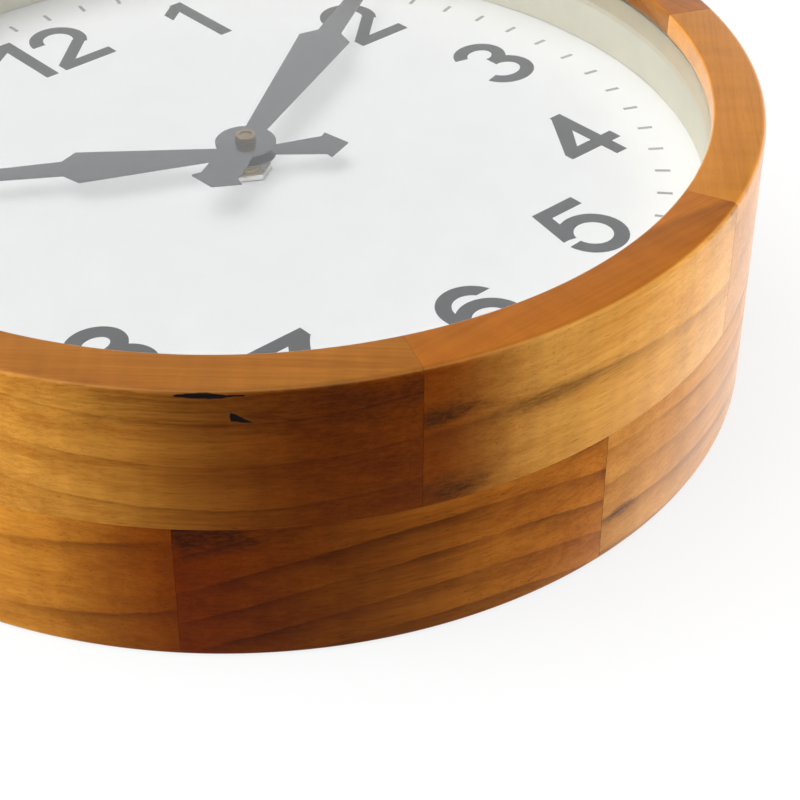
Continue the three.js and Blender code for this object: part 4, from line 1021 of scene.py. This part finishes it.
class CLOCK_OT_stem(bpy.types.Operator):
    """Threaded stem through the dial, with its nut and washer"""
    bl_idname = "wall_clock.stem"
    bl_label = "Stem"

    pitch: length("Pitch", "Rise of the thread in one turn", 0.75)
    depth: length("Depth", "Depth of the thread", 0.3)

    def execute(self, context):
        turning = bpy.data.node_groups["turning"]
        nickel = metal_material("nickel_plate", (0.84, 0.83, 0.80), turning, (0.8, 0.8, 8.0), 0.34)
        brass = bpy.data.materials["bright_brass"]
        bore, flange = radii("threaded_stem")
        low, high = heights("threaded_stem")
        shank, ledge = STEM_RADIUS, low + STEM_FLANGE
        rise = np.linspace(ledge + 0.4 * MM, high - 0.3 * MM, 180)
        profile = np.vstack([
            [(bore, low), (flange, low), (flange, ledge), (shank, ledge)],
            np.column_stack([np.full(len(rise), shank), rise]),
            [(shank - self.depth, high), (bore, high)],
        ])
        angles = np.arange(64) * TURN / 64
        profiles = np.repeat(profile[None], len(angles), axis=0)
        phase = (profiles[:, 4:-2, 1] / self.pitch - angles[:, None] / TURN) % 1
        profiles[:, 4:-2, 0] -= self.depth * np.abs(2 * phase - 1)
        piece("stem_thread", revolved(profiles, 64), brass, CASE, "brass", ["threaded_stem"], sharp=60)
        inner, corner = radii("stem_nut")
        low, high = heights("stem_nut")
        flats = rounded(arc((0, 0), corner, 30, 330, 5), 0.25 * MM)
        nut = plate(flats, [arc((0, 0), inner, 360, 0, 64)[:-1]], low, high, NUT_EDGE)
        piece("nut", nut, nickel, CASE, "nickel", ["stem_nut"])
        speckle = bpy.data.node_groups["speckle"]
        rubber = paint_material("rubber", (0.02, 0.02, 0.021), speckle, 4.0, 0.2, 0.8)
        ring = revolved(tube_profile("rubber_washer", 0.2 * MM), 96)
        piece("washer", ring, rubber, CASE, "rubber", ["rubber_washer"])
        return {"FINISHED"}


# Back, with screws in millimetres: radius and height of the head, rise of its dome, radius of the shank
CLIP_SCREW = (3.4, 1.8, 0.6, 1.7)
HANGER_SCREW = (3.1, 1.2, 0.05, 1.6)


def board_material(name):
    """Raw fibreboard: short crossed fibres over a mottled brown."""
    material, tree, shader = new_material(name)
    place = tree.object_place()
    chips = tree.stretched(place, (0.9, 0.25, 1.0), 4.0, 0.7)
    cross = tree.noise(tree.scaled(place, (0.25, 1.1, 1.0)), 1.3, 4.0, 0.7)
    mottle = tree.noise(place, 0.05, 3.0)
    tone = tree.span(tree.math("ADD", tree.math("ADD", chips, cross), mottle), 1.1, 1.9)
    colour = tree.mix(tone, (0.17, 0.095, 0.042, 1), (0.40, 0.265, 0.14, 1))
    fill(tree, shader, Base_Color=colour, Roughness=tree.span(chips, 0.3, 0.7, 0.75, 0.92),
         Normal=tree.bump(cross, 0.05 * MM, 0.5))
    return material


def cross_head(radius, height, dome):
    """Screw head about the Z axis, its face at height zero: a dome on a polar grid, sunk along a cross.

    The face is z = -dome (r/R)^2 - depth of the cross, which is full where a point lies in either arm.
    """
    sides, rings = 48, 20
    reach = np.linspace(0.02, 1.0, rings) * radius
    angles = np.arange(sides) * TURN / sides
    far = np.meshgrid(reach, angles, indexing="ij")
    across, up = far[0] * np.cos(far[1]), far[0] * np.sin(far[1])
    arm, width = 0.58 * radius, 0.13 * radius
    near, long = np.minimum(abs(across), abs(up)), np.maximum(abs(across), abs(up))
    sunk = np.clip((width - near) / (0.35 * width) + 1, 0, 1)
    sunk = sunk * np.clip((arm - long) / (0.2 * arm) + 1, 0, 1)
    level = -dome * (far[0] / radius) ** 2 - 0.55 * height * sunk
    face = np.stack([across, up, level], axis=-1)[::-1]
    seat = face[0] * (1, 1, 0) - (0, 0, height)
    points = np.concatenate([seat[None], face]).reshape(-1, 3)
    last = rings * sides
    faces = quads(rings + 1, sides, around=True)
    return points, faces + [list(range(sides))[::-1], list(range(last, last + sides))]


def screw(sizes, length):
    """Screw along -Z with its head's face at height zero."""
    radius, height, dome, shank = np.array(sizes) * MM
    profile = np.array([(0.1 * shank, -length), (shank, -length + shank), (shank, -height * 0.9)])
    return together(cross_head(radius, height, dome), revolved(profile, 24, ring=False))


class CLOCK_OT_backboard(bpy.types.Operator):
    """Backing board, and the clips and screws that hold it in the case"""
    bl_idname = "wall_clock.backboard"
    bl_label = "Backing Board"

    def execute(self, context):
        settings = context.scene.wall_clock.back
        turning = bpy.data.node_groups["turning"]
        steel = metal_material("zinc_plate", (0.56, 0.57, 0.57), turning, (0.7, 6.0, 0.7), 0.34)
        board = revolved(tube_profile("backing_board", 0.15 * MM), 240)
        piece("fibreboard", board, board_material("fibreboard"), CASE, "board", ["backing_board"])
        for index in range(4):
            eased(f"retainer_clip_{index + 1}", steel, CASE, settings.metal_edge)
            node = f"clip_screw_{index + 1}"
            places = corners(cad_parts[node].data).astype(float)
            angle = sum(block_span("back", 2 * index)) / 2
            level = (places[:, 2].min() + places[:, 2].max()) / 2
            outwards = places[:, 0] * math.cos(angle) + places[:, 1] * math.sin(angle)
            face, length = outwards.min(), np.ptp(outwards)
            turn = Matrix.Rotation(angle, 4, "Z") @ Matrix.Translation((face, 0, level))
            turn = turn @ Matrix.Rotation(-TURN / 4, 4, "Y")
            shape = placed(screw(CLIP_SCREW, length), turn)
            piece(f"clip_screw_head_{index + 1}", shape, steel, CASE, "steel", [node])
        return {"FINISHED"}


class CLOCK_OT_hanger(bpy.types.Operator):
    """Wooden hanger block with its keyhole plate and screws"""
    bl_idname = "wall_clock.hanger"
    bl_label = "Hanger"

    def execute(self, context):
        settings = context.scene.wall_clock.back
        steel = bpy.data.materials["zinc_plate"]
        wood = wood_material("hanger_wood", Plank(**SOFT, spacing=6, tilt=0.5), 900.0,
                             bpy.data.node_groups["timber"])
        block = eased("hanger_block", wood, CASE, settings.wood_edge)
        places = plank_place(corners(block.data).astype(float), TURN / 4)
        layer = block.data.attributes.new("plank", "FLOAT_VECTOR", "POINT")
        layer.data.foreach_set("vector", places.astype(np.float32).ravel())
        eased("hanger_plate", steel, CASE, settings.metal_edge)
        for index in range(2):
            node = f"hanger_screw_{index + 1}"
            low, high, middle = extent(node)
            shape = screw(HANGER_SCREW, high[2] - low[2])
            flip = Matrix.Translation((middle[0], middle[1], low[2])) @ Matrix.Rotation(TURN / 2, 4, "X")
            piece(f"hanger_screw_head_{index + 1}", placed(shape, flip), steel, CASE, "steel", [node])
        return {"FINISHED"}


def moulded_material(name, colour, speckle, roughness=0.5):
    """Moulded plastic with a fine spark-eroded texture."""
    material, tree, shader = new_material(name)
    marks = tree.group(speckle, {"Place": tree.object_place(), "Grain": 2.5})
    dress(tree, shader, colour, marks["Tone"], marks["Height"], 0.15, roughness, 0.08, (0.03 * MM, 0.5))
    return material


def jacket_material(name, colour, low, high, ends):
    """Battery jacket along X: a plain coloured sleeve that leaves bare metal at both ends."""
    material, tree, shader = new_material(name)
    place = tree.object_place()
    along = tree.parts(place)[0]
    sleeve = tree.math("MULTIPLY", tree.math("GREATER_THAN", along, (low + ends) / MM),
                       tree.math("LESS_THAN", along, (high - ends) / MM))
    stain = tree.noise(place, 0.3, 3.0)
    bare = tree.mix(stain, (0.60, 0.60, 0.58, 1), (0.74, 0.73, 0.70, 1))
    sheath = tree.mix(stain, (*colour, 1), (*(1.25 * part for part in colour), 1))
    fill(tree, shader, Base_Color=tree.mix(sleeve, bare, sheath),
         Metallic=tree.math("SUBTRACT", 1.0, sleeve), Roughness=tree.span(stain, 0.3, 0.7, 0.25, 0.36))
    return material


# Cell and knob
CELL_BUTTON = 2.75 * MM
CELL_BUTTON_RISE = 1.4 * MM
CELL_BARE_END = 0.9 * MM
KNOB_GRIP = 3 * MM
KNOB_ARBOR = 1.2 * MM
FLUTE_DEPTH = 0.5 * MM


class CLOCK_OT_movement(bpy.types.Operator):
    """Movement housing with its setting knob, battery and contacts"""
    bl_idname = "wall_clock.movement"
    bl_label = "Movement"

    flutes: IntProperty(name="Flutes", description="Grip flutes of the setting knob", default=24, min=3)

    def execute(self, context):
        settings = context.scene.wall_clock.back
        speckle = bpy.data.node_groups["speckle"]
        plastic = moulded_material("moulded_black", (0.014, 0.0145, 0.016), speckle)
        for node in ("movement_case", "movement_cover"):
            eased(node, plastic, CASE, settings.moulded_edge)
        self.knob(plastic)
        self.battery()
        nickel = bpy.data.materials["nickel_plate"]
        for node in ("battery_plus_contact", "battery_minus_contact"):
            eased(node, nickel, CASE, settings.metal_edge / 2)
        return {"FINISHED"}

    def knob(self, plastic):
        """Setting knob: a profile turned about its axis, its rim drawn in by |sin| flutes."""
        low, high, middle = extent("setting_knob")
        rim, grip, arbor = (high[0] - low[0]) / 2, low[2] + KNOB_GRIP, KNOB_ARBOR
        profile = np.array([
            (0.05 * rim, low[2] + 0.7 * MM), (0.62 * rim, low[2] + 0.7 * MM), (0.7 * rim, low[2]),
            (rim - 0.4 * MM, low[2]), (rim, low[2] + 0.4 * MM), (rim, grip - 0.3 * MM),
            (rim - 0.3 * MM, grip), (arbor, grip), (arbor, high[2]),
        ])
        angles = np.arange(192) * TURN / 192
        profiles = np.repeat(profile[None], len(angles), axis=0)
        flute = FLUTE_DEPTH * (1 - np.abs(np.sin(self.flutes / 2 * angles)))
        profiles[:, 3:7, 0] -= flute[:, None]
        shape = revolved(profiles, 192, ring=False)
        shape = placed(shape, Matrix.Translation((middle[0], middle[1], 0)))
        piece("knob", shape, plastic, "setting_knob", "housing", ["setting_knob"], sharp=30)

    def battery(self):
        """Penlight cell along X: a sleeve with rolled edges, a flat end and a raised button."""
        low, high, middle = extent("battery")
        radius, button, edge, roll = (high[1] - low[1]) / 2, CELL_BUTTON, 0.3 * MM, 0.6 * MM
        shoulder = high[0] - CELL_BUTTON_RISE
        bend = np.radians(np.linspace(-90, 0, 7))
        bottom = np.column_stack([radius - roll * (1 - np.cos(bend)), low[0] + roll * (1 + np.sin(bend))])
        bend = -bend[::-1]
        crown = np.column_stack([radius - roll * (1 - np.cos(bend)), shoulder - roll * (1 - np.sin(bend))])
        profile = np.vstack([[(0.1 * radius, low[0])], bottom, crown, [
            (button + edge, shoulder), (button, shoulder + edge), (button, high[0] - edge),
            (button - edge, high[0]), (0.1 * button, high[0]),
        ]])
        place = Matrix.Translation((0, middle[1], middle[2])) @ Matrix.Rotation(TURN / 4, 4, "Y")
        shape = placed(revolved(profile, 96, ring=False), place)
        jacket = jacket_material("battery_sleeve", (0.03, 0.045, 0.06), low[0], shoulder, CELL_BARE_END)
        piece("cell", shape, jacket, CASE, "battery", ["battery"])


class CLOCK_OT_works(bpy.types.Operator):
    """Finishes of the wheels, the step motor and the circuit inside the housing"""
    bl_idname = "wall_clock.works"
    bl_label = "Works"

    def execute(self, context):
        speckle = bpy.data.node_groups["speckle"]
        turning = bpy.data.node_groups["turning"]
        ivory = moulded_material("moulded_ivory", (0.72, 0.69, 0.60), speckle, 0.42)
        for wheel in ("hour", "motion", "centre", "third", "fourth", "fifth"):
            clothe(f"{wheel}_wheel", ivory)
        clothe("coil_bobbin", ivory)
        clothe("rotor", metal_material("sintered_magnet", (0.12, 0.12, 0.125), turning, (4, 4, 4), 0.5))
        copper = metal_material("enamelled_copper", (0.52, 0.20, 0.08), turning, (9.0, 0.5, 0.5), 0.32)
        clothe("coil_winding", copper)
        for name in ("stator", "coil_core"):
            clothe(name, bpy.data.materials["zinc_plate"])
        laminate = paint_material("green_laminate", (0.03, 0.12, 0.05), speckle, 1.5, 0.2, 0.45)
        clothe("circuit_board", laminate)
        clothe("quartz_crystal", bpy.data.materials["nickel_plate"])
        return {"FINISHED"}


# Stage
LAMPS = {  # azimuth and elevation in degrees; distance, width and height in metres; level
    "right_softbox": (-39, 1.5, 1.1, 0.5, 0.12, 1.9),
    "left_softbox": (149, 4, 1.1, 0.45, 0.12, 1.85),
}
DOME_SPAN = (0.4, 0.95)  # cosine of the angle from the dome's middle: where its light begins and is full
FLOOR_HALF = 4.0
FLOOR_BOUNCE = (0.13, 0.07, 0.035, 1)  # what the floor sends back to the clock
FLOOR_WHITE = (0.72, 0.72, 0.72, 1)  # what the camera sees of it takes shadows by this part
FLOOR_GLOW = 0.84  # and is even white by this share
WHITE = (1, 1, 1, 1)


def lamp(name, azimuth, elevation, distance, width, height, level):
    """Area lamp aimed at the clock: a white surface that faces it renders at about its level."""
    data = bpy.data.lights.new(name, "AREA")
    data.shape = "RECTANGLE"
    data.size = width
    data.size_y = height
    data.energy = level * math.pi ** 2 * distance ** 2
    made = bpy.data.objects.new(name, data)
    bpy.context.scene.collection.objects.link(made)
    a, e = math.radians(azimuth), math.radians(elevation)
    away = Vector((math.cos(a) * math.cos(e), math.sin(a) * math.cos(e), math.sin(e)))
    made.location = away * distance + Vector((0, 0, CASE_DEPTH / 2))
    made.rotation_euler = away.to_track_quat("Z", "Y").to_euler()
    made.visible_glossy = False
    made.visible_transmission = False


def seen_rays(tree):
    """One for rays that show the surroundings: from the camera, off gloss or through glass."""
    light = tree.add("ShaderNodeLightPath").outputs
    gloss = tree.math("MAXIMUM", light["Is Glossy Ray"], light["Is Transmission Ray"])
    return tree.math("MAXIMUM", light["Is Camera Ray"], gloss)


class CLOCK_OT_stage(bpy.types.Operator):
    """Camera, soft lamps, a bright dome, white surroundings and pale floor"""
    bl_idname = "wall_clock.stage"
    bl_label = "Stage"

    def execute(self, context):
        settings = context.scene.wall_clock.stage
        self.camera(context, settings)
        for name, values in LAMPS.items():
            lamp(name, *values)
        self.world(context, settings)
        self.floor(settings)
        context.scene.view_settings.view_transform = "Standard"
        return {"FINISHED"}

    def camera(self, context, settings):
        data = bpy.data.cameras.new("camera")
        data.lens = settings.lens
        data.clip_start = 0.01
        made = bpy.data.objects.new("camera", data)
        context.scene.collection.objects.link(made)
        made.location = settings.camera_place
        aim = Vector(settings.camera_aim).to_track_quat("-Z", "Y")
        made.rotation_euler = (aim.to_matrix() @ Matrix.Rotation(settings.camera_roll, 3, "Z")).to_euler()
        context.scene.camera = made

    def world(self, context, settings):
        world = bpy.data.worlds.new("white_room")
        context.scene.world = world
        world.use_nodes = True
        tree = Tree(world.node_tree)
        way = tree.add("ShaderNodeTexCoord").outputs["Generated"]
        toward = tree.vector("DOT_PRODUCT", way, settings.dome_aim)["Value"]
        level = tree.span(toward, *DOME_SPAN, settings.fill, settings.dome)
        soft = tree.add("ShaderNodeBackground", {"Color": WHITE, "Strength": level})
        shown = tree.add("ShaderNodeBackground", {"Color": WHITE, "Strength": 1.0})
        tree.surface("World Output", tree.blend(seen_rays(tree), soft, shown))

    def floor(self, settings):
        square = bar(-FLOOR_HALF, -FLOOR_HALF, FLOOR_HALF, FLOOR_HALF)
        places = np.column_stack([square, np.full(4, -settings.floor_drop)])
        mesh = bpy.data.meshes.new("floor")
        mesh.from_pydata(places.tolist(), [], [[0, 1, 2, 3]])
        made = bpy.data.objects.new("floor", mesh)
        bpy.context.scene.collection.objects.link(made)
        material, tree, shader = new_material("pale_floor")
        material.node_tree.nodes.remove(shader)
        bounce = tree.add("ShaderNodeBsdfDiffuse", {"Color": FLOOR_BOUNCE})
        white = tree.add("ShaderNodeBsdfDiffuse", {"Color": FLOOR_WHITE})
        glow = tree.add("ShaderNodeEmission", {"Color": WHITE, "Strength": 1.0})
        shown = tree.blend(FLOOR_GLOW, white, glow)
        tree.surface("Material Output", tree.blend(seen_rays(tree), bounce, shown))
        mesh.materials.append(material)


OPERATORS = (CLOCK_OT_case, CLOCK_OT_face, CLOCK_OT_hands, CLOCK_OT_stem, CLOCK_OT_backboard,
             CLOCK_OT_hanger, CLOCK_OT_movement, CLOCK_OT_works, CLOCK_OT_stage)
SETTINGS = (CaseSettings, FaceSettings, HandSettings, BackSettings, StageSettings, ClockSettings)


class CLOCK_PT_panel(bpy.types.Panel):
    """Settings and steps of the wall clock"""
    bl_idname = "CLOCK_PT_panel"
    bl_label = "Wall Clock"
    bl_space_type = "VIEW_3D"
    bl_region_type = "UI"
    bl_category = "Wall Clock"

    def draw(self, context):
        settings = context.scene.wall_clock
        for part in ("case", "face", "hands", "back", "stage"):
            group = getattr(settings, part)
            box = self.layout.box()
            box.label(text=part.capitalize())
            for name in group.bl_rna.properties.keys():
                if name not in ("name", "rna_type"):
                    box.prop(group, name)
        for operator in OPERATORS:
            self.layout.operator(operator.bl_idname)


CLASSES = (*SETTINGS, *OPERATORS, CLOCK_PT_panel)


def register():
    for item in CLASSES:
        bpy.utils.register_class(item)
    bpy.types.Scene.wall_clock = PointerProperty(type=ClockSettings)


def unregister():
    del bpy.types.Scene.wall_clock
    for item in reversed(CLASSES):
        bpy.utils.unregister_class(item)


def main():
    register()
    bpy.ops.wall_clock.case()
    bpy.ops.wall_clock.face()
    bpy.ops.wall_clock.hands()
    bpy.ops.wall_clock.stem()
    bpy.ops.wall_clock.backboard()
    bpy.ops.wall_clock.hanger()
    bpy.ops.wall_clock.movement()
    bpy.ops.wall_clock.works()
    bpy.ops.wall_clock.stage()


if __name__ == "__main__":
    main()
